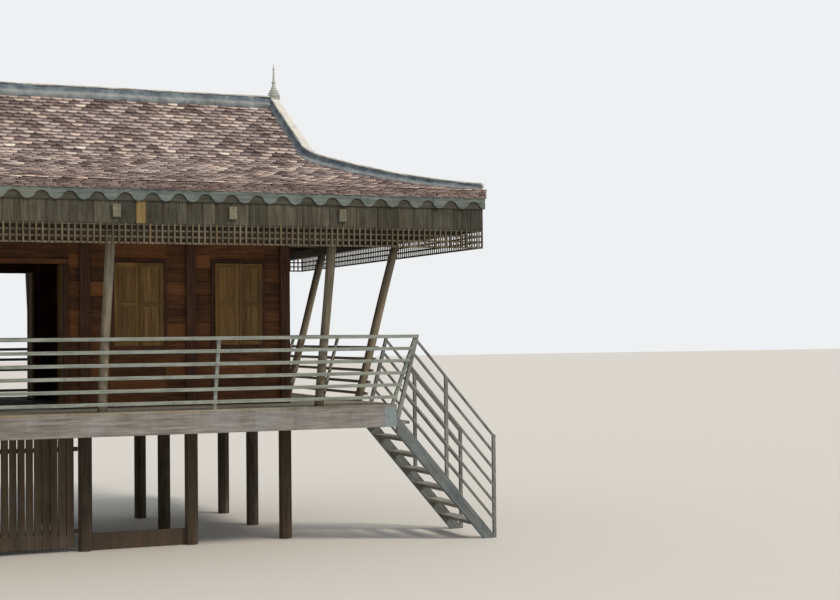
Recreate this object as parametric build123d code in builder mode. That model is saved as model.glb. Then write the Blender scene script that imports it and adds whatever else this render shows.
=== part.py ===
"""Timber stilt house with a concave hip-and-gable roof, an open gallery and an outside stair.

Millimetres, +Z up. The origin is on the ground, midway along and across the whole outline with its
stair. +X runs along the front to the stair, and the front faces -Y. Pieces are drawn about the
middle of the roof and moved along X to that origin as they are saved.
"""

import os
from math import cos, hypot, radians, tan

from build123d import *

# Deck and rooms in plan
deck_length = 9500
deck_depth = 5900
body_length = 7100
body_depth = 3300
bay_pitch = 1460
bay_count = 5

# Floor frame, from the ground up
deck_top = 1920
deck_board = 35
joist_height = 150
joist_width = 60
joist_bays = 14
girder_height = 150
girder_width = 120
rim_height = 275
rim_board = 60
rim_end_beam = 180
stilt_width = 190

# Walls and their openings
wall_post = 140
wall_board = 40
plate_height = 140
plate_tail = 200
door_width = 900
door_height = 1950
window_width = 640
window_sill = 850
window_head = 1950
frame_width = 70
frame_depth = 90
leaf_board = 30
leaf_lap = 20
leaf_gap = 3

# Eave frame, carried by the leaning gallery posts
eave_overhang = 950
eave_clear = 2100
lean_angle = 15
gallery_post_diameter = 130
gallery_post_sides = 10
gallery_post_inset = 90
eave_beam_width = 110
outrigger_width = 100
outrigger_height = 160
outrigger_lift = 70

# Eave trim
trim_inset = 20
fascia_board = 25
fascia_height = 190
lobe_depth = 118
lobe_width = 214
lobe_pitch = 334
lobe_outline = [(-0.5, 0.45), (-0.3, 0.07), (0, 0), (0.3, 0.07), (0.5, 0.45)]
frieze_board = 25
lattice_height = 250
lattice_bar = 24
lattice_rows = 3
lattice_step = 640

# Roof
roof_thickness = 80
gable_setback_end = 1690
gable_setback_front = 2150
break_rise = 550
ridge_rise = 1615
eave_slope = 7.5
curve_facets = 4
rafter_width = 60
rafter_height = 90
rafter_bays = 14
end_rafter_bays = 5
ridge_board = 40
purlin_width = 80
purlin_height = 120
gable_board = 50
cap_width = 150
cap_height = 170
cap_seat = 40
cap_bevel = 20
hip_cap_foot = 125
finial_height = 500
finial_radius = 96
finial_sides = 12
finial_rings = [
    (0.8, 0),
    (1, 0.04),
    (1, 0.1),
    (0.62, 0.15),
    (0.55, 0.3),
    (0.26, 0.4),
    (0.38, 0.46),
    (0.2, 0.52),
    (0.2, 0.83),
    (0.05, 1),
]

# Railing of the gallery
rail_height = 950
rail_foot = 120
rail_width = 30
rail_depth = 40
rail_levels = 6
rail_post = 45
rail_end_gap = 3

# Stair at the right end
stair_width = 1200
riser_count = 8
stair_angle = 49.5
stringer_board = 60
stringer_depth = 150
stringer_head = 1755
tread_depth = 210
tread_board = 40
newel_height = 1450
stair_rail_levels = 6
stair_rail_depth = 45

# Slatted screen and low boards under the floor
slat_width = 95
slat_pitch = 107
slat_board = 22
slat_ground_gap = 60
screen_rail = 60
low_board_height = 115

# Heights that follow
half_length = deck_length / 2
half_depth = deck_depth / 2
deck_under = deck_top - deck_board
joist_under = deck_under - joist_height
girder_under = joist_under - girder_height
rim_under = deck_under - rim_height
lattice_under = deck_top + eave_clear
frieze_under = lattice_under + lattice_height
outrigger_under = frieze_under + outrigger_lift
outrigger_top = outrigger_under + outrigger_height
plate_under = outrigger_under - plate_height
eave_under = outrigger_top + fascia_height
eave_top = eave_under + roof_thickness
break_top = eave_top + break_rise
ridge_top = eave_top + ridge_rise
lean = tan(radians(lean_angle))

# Plan lines that follow
eave_x = half_length + eave_overhang
eave_y = half_depth + eave_overhang
trim_x = eave_x - trim_inset
trim_y = eave_y - trim_inset
frieze_x = trim_x - fascia_board
frieze_y = trim_y - fascia_board
inner_x = frieze_x - frieze_board
inner_y = frieze_y - frieze_board
gable_x = eave_x - gable_setback_end
gable_y = eave_y - gable_setback_front
wall_x = body_length / 2
wall_y = body_depth / 2
bay_lines = [(index - bay_count / 2) * bay_pitch for index in range(bay_count + 1)]
post_lines = [max(-wall_x, min(wall_x, line)) for line in bay_lines]
post_rows = (-wall_y, wall_y)
stair_far = -half_depth + stair_width
end_rows = (-wall_y, 0, wall_y)
gallery_lines = [bay_lines[0], bay_lines[2], bay_lines[3], bay_lines[-1]]

# Stair line
stair_fall = tan(radians(stair_angle))
stringer_foot = stringer_head - stringer_depth / cos(radians(stair_angle))
toe_front = half_length + stringer_foot / stair_fall
toe_back = half_length + stringer_head / stair_fall
house_shift = (eave_x - toe_back) / 2

os.makedirs("parts", exist_ok=True)


def save(builder, name):
    """Move a finished piece to the origin, label it and write it to its own file."""
    piece = builder.part.moved(Location((house_shift, 0, 0)))
    piece.label = name
    export_step(piece, f"parts/{name}.step")


def block(x, y, z, mode=Mode.ADD):
    """Add or cut a box that spans the given pairs of coordinates."""
    middle = tuple((low + high) / 2 for low, high in (x, y, z))
    with Locations(middle):
        Box(abs(x[1] - x[0]), abs(y[1] - y[0]), abs(z[1] - z[0]), mode=mode)


def prism(plane, points, depth, both=False, mode=Mode.ADD):
    """Add, cut or keep the prism on a closed outline of straight sides."""
    with BuildSketch(plane) as outline:
        with BuildLine():
            Polyline(*points, close=True)
        make_face()
    extrude(outline.sketch, amount=depth, both=both, mode=mode)


def bar(start, end, width, depth, side):
    """Add a straight bar between two points, with its depth along the side direction."""
    run = Vector(*end) - Vector(*start)
    across = run.cross(Vector(*side))
    with BuildSketch(Plane(origin=start, x_dir=across, z_dir=run)) as section:
        Rectangle(width, depth)
    extrude(section.sketch, amount=run.length)


def leaning(foot, outward, height, diameter=0, width=0):
    """Add a round or square post that leans outward, cut level at its foot and head."""
    direction = Vector(outward[0] * lean, outward[1] * lean, 1)
    with BuildSketch(Plane.XY.offset(foot[2])) as section:
        with Locations(foot[:2]):
            if diameter:
                RegularPolygon(diameter / 2, gallery_post_sides)
            else:
                Rectangle(width, width)
    extrude(section.sketch, amount=height * direction.length, dir=direction)


def roof_rise(distance, run):
    """Height of the concave roof above its eave, at a distance in along its straight facets."""
    bend = tan(radians(eave_slope)) * gable_setback_front / 2
    facet = min(int(distance / run * curve_facets), curve_facets - 1)
    low, high = [
        2 * bend * share * (1 - share) + break_rise * share**2
        for share in (facet / curve_facets, (facet + 1) / curve_facets)
    ]
    return low + (high - low) * (distance / run * curve_facets - facet)


def curve_points(run, edge, lift):
    """Points of the concave roof line, from the eave in to the gable's foot."""
    points = []
    for index in range(curve_facets + 1):
        distance = run * index / curve_facets
        points.append((distance - edge, eave_top + roof_rise(distance, run) + lift))
    return points


def slope_points(run, edge, upper, lower, apex=None):
    """Outline of a roof layer between two heights above the tile line, curved at its foot."""
    top = curve_points(run, edge, upper)
    under = curve_points(run, edge, lower)
    if apex is not None:
        top.append((0, apex + upper))
        under.append((0, apex + lower))
    return top + under[::-1]


# Stilts and floor frame
with BuildPart() as stilts:
    with BuildSketch() as stilt_plan:
        for line in post_lines:
            for row in (-wall_y, 0, wall_y):
                with Locations((line, row)):
                    RegularPolygon(stilt_width / 2, 8)
    extrude(amount=girder_under)
save(stilts, "stilts")

with BuildPart() as floor_girders:
    for row in (-wall_y, 0, wall_y):
        block(
            (-half_length + rim_end_beam, half_length - rim_end_beam),
            (row - girder_width / 2, row + girder_width / 2),
            (girder_under, joist_under),
        )
save(floor_girders, "floor_girders")

joist_reach = half_length - rim_end_beam - joist_width / 2
with BuildPart() as floor_joists:
    for index in range(joist_bays + 1):
        line = joist_reach * (2 * index / joist_bays - 1)
        block(
            (line - joist_width / 2, line + joist_width / 2),
            (-half_depth + rim_board, half_depth - rim_board),
            (joist_under, deck_under),
        )
save(floor_joists, "floor_joists")

with BuildPart() as deck:
    block((-half_length, half_length), (-half_depth, half_depth), (deck_under, deck_top))
save(deck, "deck")

with BuildPart() as rim_boards:
    for side in (-1, 1):
        block(
            (-half_length + rim_end_beam, half_length - rim_end_beam),
            (side * half_depth, side * (half_depth - rim_board)),
            (rim_under, deck_under),
        )
save(rim_boards, "rim_boards")

with BuildPart() as rim_end_beams:
    for side in (-1, 1):
        block(
            (side * half_length, side * (half_length - rim_end_beam)),
            (-half_depth, half_depth),
            (rim_under, deck_under),
        )
save(rim_end_beams, "rim_end_beams")

# Walls: posts, plates and board panels between them
bay_middles = [(left + right) / 2 for left, right in zip(post_lines, post_lines[1:])]
window_lines = [middle for middle in bay_middles if abs(middle) > bay_pitch / 2]
door_rough = door_width / 2 + frame_width
window_rough = window_width / 2 + frame_width
door_head = deck_top + door_height
sill_top = deck_top + window_sill
head_under = deck_top + window_head

half_post = wall_post / 2
with BuildPart() as wall_posts:
    for line in post_lines:
        for row in post_rows:
            block(
                (line - half_post, line + half_post),
                (row - half_post, row + half_post),
                (deck_top, plate_under),
            )
save(wall_posts, "wall_posts")

half_board = wall_board / 2
half_frame = frame_depth / 2
for name, row in (("wall_front", -wall_y), ("wall_rear", wall_y)):
    with BuildPart() as long_wall:
        for left, right, middle in zip(post_lines, post_lines[1:], bay_middles):
            rough = window_rough if middle in window_lines else door_rough
            for edges in ((left + half_post, middle - rough), (middle + rough, right - half_post)):
                block(edges, (row - half_board, row + half_board), (deck_top, plate_under))
    save(long_wall, name)

with BuildPart() as wall_ends:
    for side in (-1, 1):
        for half in (-1, 1):
            block(
                (side * wall_x - half_board, side * wall_x + half_board),
                (half * window_rough, half * (wall_y - half_post)),
                (deck_top, plate_under),
            )
save(wall_ends, "wall_ends")

below_window = (deck_top, sill_top - frame_width)
above_window = (head_under + frame_width, plate_under)
with BuildPart() as window_panels:
    for heights in (below_window, above_window):
        for row in post_rows:
            for line in window_lines:
                edges = (line - window_rough, line + window_rough)
                block(edges, (row - half_board, row + half_board), heights)
        for side in (-1, 1):
            faces = (side * wall_x - half_board, side * wall_x + half_board)
            block(faces, (-window_rough, window_rough), heights)
save(window_panels, "window_panels")

jamb_pieces = [
    ((side * window_width / 2, side * window_rough), (sill_top, head_under)) for side in (-1, 1)
]
rail_pieces = [
    ((-window_rough, window_rough), (low, low + frame_width))
    for low in (sill_top - frame_width, head_under)
]
for name, pieces in (("window_jambs", jamb_pieces), ("window_rails", rail_pieces)):
    with BuildPart() as frames:
        for edges, heights in pieces:
            for row in post_rows:
                for line in window_lines:
                    span = (line + edges[0], line + edges[1])
                    block(span, (row - half_frame, row + half_frame), heights)
            for side in (-1, 1):
                block((side * wall_x - half_frame, side * wall_x + half_frame), edges, heights)
    save(frames, name)

with BuildPart() as door_jambs:
    for row in post_rows:
        for side in (-1, 1):
            block(
                (side * door_width / 2, side * door_rough),
                (row - frame_depth / 2, row + frame_depth / 2),
                (deck_top, door_head),
            )
save(door_jambs, "door_jambs")

with BuildPart() as door_heads:
    for row in post_rows:
        block(
            (-door_rough, door_rough),
            (row - frame_depth / 2, row + frame_depth / 2),
            (door_head, door_head + frame_width),
        )
        block(
            (-door_rough, door_rough),
            (row - wall_board / 2, row + wall_board / 2),
            (door_head + frame_width, plate_under),
        )
save(door_heads, "door_heads")

leaf_back = half_frame + leaf_board
leaf_reach = window_width / 2 + leaf_lap
with BuildPart() as window_shutters:
    for half in (-1, 1):
        edges = (half * leaf_gap / 2, half * leaf_reach)
        heights = (sill_top - leaf_lap, head_under + leaf_lap)
        for side in (-1, 1):
            faces = (side * (wall_y + half_frame), side * (wall_y + leaf_back))
            for line in window_lines:
                block((line + edges[0], line + edges[1]), faces, heights)
            faces = (side * (wall_x + half_frame), side * (wall_x + leaf_back))
            block(faces, edges, heights)
save(window_shutters, "window_shutters")

with BuildPart() as door_leaves:
    for half in (-1, 1):
        for side in (-1, 1):
            block(
                (half * door_width / 2, half * (door_width / 2 + leaf_board)),
                (side * (wall_y - half_frame), side * (wall_y - half_frame - door_width / 2)),
                (deck_top + leaf_lap, door_head),
            )
save(door_leaves, "door_leaves")

# Leaning gallery posts and the eave frame on their heads
post_reach = plate_under - deck_top
foot_x = half_length - gallery_post_inset
foot_y = half_depth - gallery_post_inset
head_x = foot_x + lean * post_reach
head_y = foot_y + lean * post_reach

with BuildPart() as leaning_posts:
    for side in (-1, 1):
        for line in gallery_lines:
            leaning((line, side * foot_y, deck_top), (0, side), post_reach, diameter=gallery_post_diameter)
        for row in post_rows:
            leaning((side * foot_x, row, deck_top), (side, 0), post_reach, diameter=gallery_post_diameter)
save(leaning_posts, "leaning_posts")

half_beam = eave_beam_width / 2
with BuildPart() as long_plates:
    for side in (-1, 1):
        for row, half_width, reach in (
            (side * wall_y, half_post, wall_x + plate_tail),
            (side * head_y, half_beam, head_x + half_beam),
        ):
            block((-reach, reach), (row - half_width, row + half_width), (plate_under, outrigger_under))
save(long_plates, "long_plates")

with BuildPart() as end_plates:
    for side in (-1, 1):
        for line, half_width, reach in (
            (side * wall_x, half_post, wall_y - half_post),
            (side * head_x, half_beam, head_y - half_beam),
        ):
            block((line - half_width, line + half_width), (-reach, reach), (plate_under, outrigger_under))
save(end_plates, "end_plates")

half_outrigger = outrigger_width / 2
with BuildPart() as tie_beams:
    for line in bay_lines:
        block(
            (line - half_outrigger, line + half_outrigger),
            (-trim_y, trim_y),
            (outrigger_under, outrigger_top),
        )
save(tie_beams, "tie_beams")

with BuildPart() as end_outriggers:
    for side in (-1, 1):
        for row in end_rows:
            block(
                (side * (bay_lines[-1] + half_outrigger), side * trim_x),
                (row - half_outrigger, row + half_outrigger),
                (outrigger_under, outrigger_top),
            )
save(end_outriggers, "end_outriggers")


# Eave trim: scalloped fascia, board frieze and lattice
def scallop_points(half_span):
    """Outline of a fascia board whose lower edge is round lobes with peaked recesses between."""
    count = round(2 * half_span / lobe_pitch)
    pitch = 2 * half_span / count
    lobe = lobe_width * pitch / lobe_pitch
    points = [(-half_span, eave_under)]
    for index in range(count):
        middle = -half_span + (index + 0.5) * pitch
        for place, rise in lobe_outline:
            points.append((middle + place * lobe, outrigger_top + rise * lobe_depth))
        if index < count - 1:
            points.append((middle + pitch / 2, outrigger_top + lobe_depth))
    points.append((half_span, eave_under))
    return points


def upright_plane(side, distance, along_x):
    """Upright plane that faces outward at a distance from the middle of the house."""
    if along_x:
        return Plane(origin=(0, side * distance, 0), x_dir=(-side, 0, 0), z_dir=(0, side, 0))
    return Plane(origin=(side * distance, 0, 0), x_dir=(0, side, 0), z_dir=(side, 0, 0))


def frieze_panel(plane, half_span, crossings):
    """Add one strip of frieze boards, cut where the outriggers pass through it."""
    prism(
        plane,
        [
            (-half_span, frieze_under),
            (half_span, frieze_under),
            (half_span, eave_under),
            (-half_span, eave_under),
        ],
        frieze_board,
    )
    for place in crossings:
        prism(
            plane,
            [
                (place - outrigger_width / 2, outrigger_under),
                (place + outrigger_width / 2, outrigger_under),
                (place + outrigger_width / 2, outrigger_top),
                (place - outrigger_width / 2, outrigger_top),
            ],
            frieze_board,
            mode=Mode.SUBTRACT,
        )


def lattice_panel(plane, half_span):
    """Add one strip of lattice, with its rails and uprights joined where they cross."""
    count = max(1, round(2 * half_span / lattice_step))
    row_pitch = (lattice_height - lattice_bar) / lattice_rows
    column_pitch = (2 * half_span - lattice_bar) / count
    with BuildSketch(plane) as grid:
        with Locations((0, lattice_under + lattice_height / 2)):
            Rectangle(2 * half_span, lattice_height)
        for column in range(count):
            for row in range(lattice_rows):
                middle_x = -half_span + lattice_bar / 2 + (column + 0.5) * column_pitch
                middle_z = lattice_under + lattice_bar / 2 + (row + 0.5) * row_pitch
                with Locations((middle_x, middle_z)):
                    Rectangle(column_pitch - lattice_bar, row_pitch - lattice_bar, mode=Mode.SUBTRACT)
    extrude(grid.sketch, amount=frieze_board)


for name, side in (("front", -1), ("rear", 1)):
    with BuildPart() as fascia:
        prism(upright_plane(side, frieze_y, True), scallop_points(trim_x), fascia_board)
    save(fascia, f"fascia_{name}")
    with BuildPart() as frieze:
        frieze_panel(upright_plane(side, inner_y, True), frieze_x, bay_lines)
    save(frieze, f"frieze_{name}")
    with BuildPart() as lattice:
        lattice_panel(upright_plane(side, inner_y, True), frieze_x)
    save(lattice, f"lattice_{name}")

with BuildPart() as fascia_ends:
    for side in (-1, 1):
        prism(upright_plane(side, frieze_x, False), scallop_points(frieze_y), fascia_board)
save(fascia_ends, "fascia_ends")

with BuildPart() as frieze_ends:
    for side in (-1, 1):
        frieze_panel(upright_plane(side, inner_x, False), inner_y, end_rows)
save(frieze_ends, "frieze_ends")

with BuildPart() as lattice_ends:
    for side in (-1, 1):
        lattice_panel(upright_plane(side, inner_x, False), inner_y)
save(lattice_ends, "lattice_ends")

# Roof shell: flat upper slopes, and curved skirts that meet along the hips
for name, side in (("roof_front", -1), ("roof_rear", 1)):
    with BuildPart() as slope:
        prism(
            Plane.YZ,
            [
                (side * gable_y, break_top),
                (0, ridge_top),
                (0, ridge_top - roof_thickness),
                (side * gable_y, break_top - roof_thickness),
            ],
            gable_x,
            both=True,
        )
    save(slope, name)

long_plan = [(-eave_x, -eave_y), (eave_x, -eave_y), (gable_x, -gable_y), (-gable_x, -gable_y)]
end_plan = [(-eave_x, -eave_y), (-gable_x, -gable_y), (-gable_x, gable_y), (-eave_x, eave_y)]

with BuildPart() as roof_skirts:
    prism(Plane.YZ, slope_points(gable_setback_front, eave_y, 0, -roof_thickness), eave_x, both=True)
    prism(Plane.XY, long_plan, 2 * ridge_top, mode=Mode.INTERSECT)
    mirror(about=Plane.XZ)
save(roof_skirts, "roof_skirts")

with BuildPart() as roof_left:
    prism(Plane.XZ, slope_points(gable_setback_end, eave_x, 0, -roof_thickness), eave_y, both=True)
    prism(Plane.XY, end_plan, 2 * ridge_top, mode=Mode.INTERSECT)
save(roof_left, "roof_left")

with BuildPart() as roof_right:
    add(mirror(roof_left.part, about=Plane.YZ, mode=Mode.PRIVATE))
save(roof_right, "roof_right")

roof_shells = (roof_skirts, roof_left, roof_right)

gable_foot = break_top - roof_thickness
with BuildPart() as gable_walls:
    for side in (-1, 1):
        prism(
            Plane.YZ.offset(min(side * gable_x, side * gable_x - side * gable_board)),
            [(-gable_y, gable_foot), (gable_y, gable_foot), (0, ridge_top - roof_thickness)],
            gable_board,
        )
save(gable_walls, "gable_walls")

# Rafters and what carries them
rafter_top = -roof_thickness
rafter_under = rafter_top - rafter_height
rafter_reach = gable_x - gable_board - rafter_width
break_seat = break_top + rafter_under
upper_fall = (ridge_rise - break_rise) / gable_y
seat_fall = break_rise - roof_rise(gable_setback_front - purlin_width / 2, gable_setback_front)
break_purlin_top = break_seat - seat_fall
ridge_fall = upper_fall * ridge_board / 2
ridge_board_top = ridge_top + rafter_top - ridge_fall
ridge_board_under = ridge_top + rafter_under - purlin_height

half_ridge = ridge_board / 2
rafter_lines = [rafter_reach * (2 * index / rafter_bays - 1) for index in range(rafter_bays + 1)]
rafter_rows = [
    (gable_y - rafter_width) * (2 * index / end_rafter_bays - 1) for index in range(end_rafter_bays + 1)
]
with BuildPart() as rafters:
    for line in rafter_lines:
        for side in (-1, 1):
            prism(
                Plane.YZ.offset(line),
                [
                    (side * gable_y, break_top + rafter_top),
                    (side * half_ridge, ridge_top + rafter_top - ridge_fall),
                    (side * half_ridge, ridge_top + rafter_under - ridge_fall),
                    (side * gable_y, break_top + rafter_under),
                ],
                rafter_width / 2,
                both=True,
            )
save(rafters, "rafters")

long_rafter = slope_points(gable_setback_front, eave_y, rafter_top, rafter_under)
end_rafter = slope_points(gable_setback_end, eave_x, rafter_top, rafter_under)
with BuildPart() as skirt_rafters:
    for side in (-1, 1):
        for line in rafter_lines:
            outline = [(-side * place, rise) for place, rise in long_rafter]
            prism(Plane.YZ.offset(line), outline, rafter_width / 2, both=True)
        for row in rafter_rows:
            outline = [(-side * place, rise) for place, rise in end_rafter]
            prism(Plane.XZ.offset(-row), outline, rafter_width / 2, both=True)
    block((-inner_x, inner_x), (-inner_y, inner_y), (0, ridge_top), mode=Mode.INTERSECT)
save(skirt_rafters, "skirt_rafters")


def hip_plane(side_x, side_y):
    """Upright plane along one hip, from the eave's corner in to the gable's foot."""
    inward = (-side_x * gable_setback_end, -side_y * gable_setback_front, 0)
    across = Vector(*inward).cross(Vector(0, 0, 1))
    return Plane(origin=(side_x * eave_x, side_y * eave_y, 0), x_dir=inward, z_dir=across)


hip_run = hypot(gable_setback_end, gable_setback_front)


def hip_points(upper, lower):
    """Outline along a hip between two lines, each with a lift at its foot and at its head."""
    lines = []
    for foot, head in (upper, lower):
        line = curve_points(hip_run, 0, 0)
        lines.append([(place, rise + foot + (head - foot) * place / hip_run) for place, rise in line])
    return lines[0] + lines[1][::-1]


eave_seat_y = eave_top + rafter_under + roof_rise(eave_y - inner_y, gable_setback_front)
eave_seat_x = eave_top + rafter_under + roof_rise(eave_x - inner_x, gable_setback_end)
gable_beam_under = break_purlin_top - purlin_height
with BuildPart() as purlins:
    for side in (-1, 1):
        block(
            (-inner_x, inner_x),
            (side * inner_y, side * (inner_y - purlin_width)),
            (outrigger_top, eave_seat_y),
        )
        block(
            (-gable_x + purlin_width, gable_x - purlin_width),
            (side * gable_y - purlin_width / 2, side * gable_y + purlin_width / 2),
            (gable_beam_under, break_purlin_top),
        )
    block(
        (-gable_x + gable_board, gable_x - gable_board),
        (-half_ridge, half_ridge),
        (ridge_board_under, ridge_board_top),
    )
save(purlins, "purlins")

with BuildPart() as end_purlins:
    for side in (-1, 1):
        block(
            (side * inner_x, side * (inner_x - purlin_width)),
            (-inner_y + purlin_width, inner_y - purlin_width),
            (outrigger_top, eave_seat_x),
        )
        block(
            (side * gable_x, side * (gable_x - purlin_width)),
            (-gable_y, gable_y),
            (gable_beam_under, gable_foot),
        )
save(end_purlins, "end_purlins")

with BuildPart() as roof_posts:
    for line in bay_lines:
        for row, head in ((-gable_y, gable_beam_under), (0, ridge_board_under), (gable_y, gable_beam_under)):
            block(
                (line - purlin_width / 2, line + purlin_width / 2),
                (row - purlin_width / 2, row + purlin_width / 2),
                (outrigger_top, head),
            )
save(roof_posts, "roof_posts")

# Caps over the ridge, the gable edges and the hips
crown = ridge_top + cap_height
half_cap = cap_width / 2
with BuildPart() as ridge_cap:
    prism(
        Plane.YZ,
        [
            (-half_cap, ridge_top - upper_fall * half_cap),
            (0, ridge_top),
            (half_cap, ridge_top - upper_fall * half_cap),
            (half_cap, crown - cap_bevel),
            (half_cap - cap_bevel, crown),
            (cap_bevel - half_cap, crown),
            (-half_cap, crown - cap_bevel),
        ],
        gable_x - cap_width,
        both=True,
    )
save(ridge_cap, "ridge_cap")

with BuildPart() as verge_caps:
    for side in (-1, 1):
        for half in (-1, 1):
            prism(
                Plane.YZ.offset(min(side * gable_x, side * (gable_x - cap_width))),
                [
                    (half * gable_y, break_top),
                    (half * half_cap, ridge_top - upper_fall * half_cap),
                    (half * half_cap, crown - upper_fall * half_cap),
                    (half * gable_y, break_top + cap_height),
                ],
                cap_width,
            )
save(verge_caps, "verge_caps")

with BuildPart() as hip_caps:
    for side_x in (-1, 1):
        for side_y in (-1, 1):
            outline = hip_points((hip_cap_foot, cap_height), (-cap_seat, -cap_seat))
            prism(hip_plane(side_x, side_y), outline, half_cap, both=True)
    for shell in roof_shells:
        add(shell.part, mode=Mode.SUBTRACT)
    block((-2 * eave_x, 2 * eave_x), (-eave_y - cap_width, -eave_y), (0, ridge_top), mode=Mode.SUBTRACT)
    block((-2 * eave_x, 2 * eave_x), (eave_y, eave_y + cap_width), (0, ridge_top), mode=Mode.SUBTRACT)
    block((-eave_x - cap_width, -eave_x), (-eave_y, eave_y), (0, ridge_top), mode=Mode.SUBTRACT)
    block((eave_x, eave_x + cap_width), (-eave_y, eave_y), (0, ridge_top), mode=Mode.SUBTRACT)
save(hip_caps, "hip_caps")

with BuildPart() as hip_rafters:
    for side_x in (-1, 1):
        for side_y in (-1, 1):
            outline = hip_points((rafter_top, rafter_top), (rafter_under, rafter_under))
            prism(hip_plane(side_x, side_y), outline, rafter_width / 2, both=True)
    for shell in roof_shells:
        add(shell.part, mode=Mode.SUBTRACT)
    block((-gable_x, gable_x), (-gable_y, gable_y), (0, ridge_top), mode=Mode.SUBTRACT)
    with Locations((0, 0, ridge_top / 2)):
        Box(2 * (inner_x - purlin_width), 2 * (inner_y - purlin_width), ridge_top, mode=Mode.INTERSECT)
save(hip_rafters, "hip_rafters")

with BuildPart() as finials:
    for side in (-1, 1):
        rings = []
        for radius_share, height_share in finial_rings:
            with BuildSketch(Plane.XY.offset(crown + finial_height * height_share)) as ring:
                with Locations((side * (gable_x - half_cap), 0)):
                    RegularPolygon(finial_radius * radius_share, finial_sides)
            rings.append(ring.sketch.face())
        loft(rings, ruled=True)
        prism(
            Plane.YZ.offset(min(side * gable_x, side * (gable_x - cap_width))),
            [
                (-half_cap, ridge_top - upper_fall * half_cap),
                (0, ridge_top),
                (half_cap, ridge_top - upper_fall * half_cap),
                (half_cap, crown),
                (-half_cap, crown),
            ],
            cap_width,
        )
save(finials, "finials")


# Gallery railings that lean with the posts
def rail_line(height):
    """Distance of a rail's middle beyond the deck's edge, at a height above the deck."""
    outer = gallery_post_diameter / 2 + rail_width / 2 / cos(radians(lean_angle))
    return outer - gallery_post_inset + lean * height


stick_line = gallery_post_inset - gallery_post_diameter / 2 + rail_post / 2
rail_heights = [
    rail_height - rail_depth / 2 - index * (rail_height - rail_foot) / (rail_levels - 1)
    for index in range(rail_levels)
]
rail_gap = stick_line + rail_post / 2 + rail_end_gap
rail_post_row = half_depth - bay_pitch / 2

for name, side in (("railing_front", -1), ("railing_rear", 1)):
    with BuildPart() as railing:
        for height in rail_heights:
            reach = half_length - stick_line + rail_post / 2 + lean * height
            row = side * (half_depth + rail_line(height))
            level = deck_top + height
            bar((-reach, row, level), (reach, row, level), rail_width, rail_depth, (0, side * lean, 1))
        for line in (bay_lines[1], bay_lines[-2]):
            foot = (line, side * (half_depth - stick_line), deck_top)
            leaning(foot, (0, side), rail_height, width=rail_post)
        for end in (-1, 1):
            foot = (end * (half_length - stick_line), side * (half_depth - stick_line), deck_top)
            leaning(foot, (end, side), rail_height, width=rail_post)
    save(railing, name)

for name, side, front_end in (("railing_left", -1, None), ("railing_right", 1, stair_far)):
    with BuildPart() as railing:
        for height in rail_heights:
            rear = half_depth - rail_gap + lean * height
            front = -rear if front_end is None else front_end
            line = side * (half_length + rail_line(height))
            level = deck_top + height
            bar((line, front, level), (line, rear, level), rail_width, rail_depth, (side * lean, 0, 1))
        rows = (0, rail_post_row) if front_end is not None else (-rail_post_row, 0, rail_post_row)
        for row in rows:
            foot = (side * (half_length - stick_line), row, deck_top)
            leaning(foot, (side, 0), rail_height, width=rail_post)
    save(railing, name)

# Stair
riser = deck_top / riser_count
newel_line = toe_back - rail_post
stringer_rows = (
    (-half_depth, -half_depth + stringer_board),
    (stair_far - stringer_board, stair_far),
)

with BuildPart() as stair_stringers:
    for near, far in stringer_rows:
        prism(
            Plane.XZ.offset(-far),
            [
                (half_length, stringer_foot),
                (half_length, stringer_head),
                (newel_line, (toe_back - newel_line) * stair_fall),
                (newel_line, 0),
                (toe_front, 0),
            ],
            far - near,
        )
save(stair_stringers, "stair_stringers")

with BuildPart() as stair_treads:
    for index in range(1, riser_count):
        level = deck_top - index * riser
        back = half_length + max(0, (stringer_foot - level + tread_board / 2) / stair_fall)
        block(
            (back, back + tread_depth),
            (stringer_rows[0][1], stringer_rows[1][0]),
            (level - tread_board, level),
        )
save(stair_treads, "stair_treads")


def slanted(start, end, depth):
    """Add a flat strip between two points, measured upright, to the sketch that is being drawn."""
    with BuildLine() as edge:
        Polyline(start, end, (end[0], end[1] + depth), (start[0], start[1] + depth), close=True)
    make_face(edge.line.edges())


def stair_rail_outline():
    """Flat outline of one stair railing, with its head post, middle post, newel and rails."""
    newel_middle = newel_line + rail_post / 2
    head_middle = half_length + rail_post / 2
    drop = (newel_height - stair_rail_depth) / stair_rail_levels
    head_reach = deck_top + rail_height
    head_lean = lean * (head_reach - stringer_head)
    with BuildSketch() as outline:
        with Locations((newel_middle, newel_height / 2)):
            Rectangle(rail_post, newel_height)
        with BuildLine():
            Polyline(
                (half_length, stringer_head),
                (half_length + rail_post, stringer_head - rail_post * stair_fall),
                (half_length + rail_post + head_lean, head_reach),
                (half_length + head_lean, head_reach),
                close=True,
            )
        make_face()
        for index in range(stair_rail_levels):
            low = newel_height - stair_rail_depth - index * drop
            run = stair_fall * (newel_middle - head_middle) + stair_fall * lean * stringer_head
            high = (low + run) / (1 + stair_fall * lean)
            start = head_middle + lean * (high - stringer_head)
            slanted((start, high), (newel_middle, low), stair_rail_depth)
        middle = (half_length + newel_line) / 2
        seat = stringer_head - (middle - half_length) * stair_fall
        top = newel_height - stair_rail_depth / 2 + (newel_middle - middle) * stair_fall
        slanted((middle, seat), (middle + rail_post, seat - rail_post * stair_fall), top - seat)
    return outline.sketch


with BuildPart() as stair_railings:
    for near, far in stringer_rows:
        upright = Plane.XZ.offset(-(near + far) / 2)
        extrude(upright * stair_rail_outline(), amount=rail_post / 2, both=True)
save(stair_railings, "stair_railings")

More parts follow.
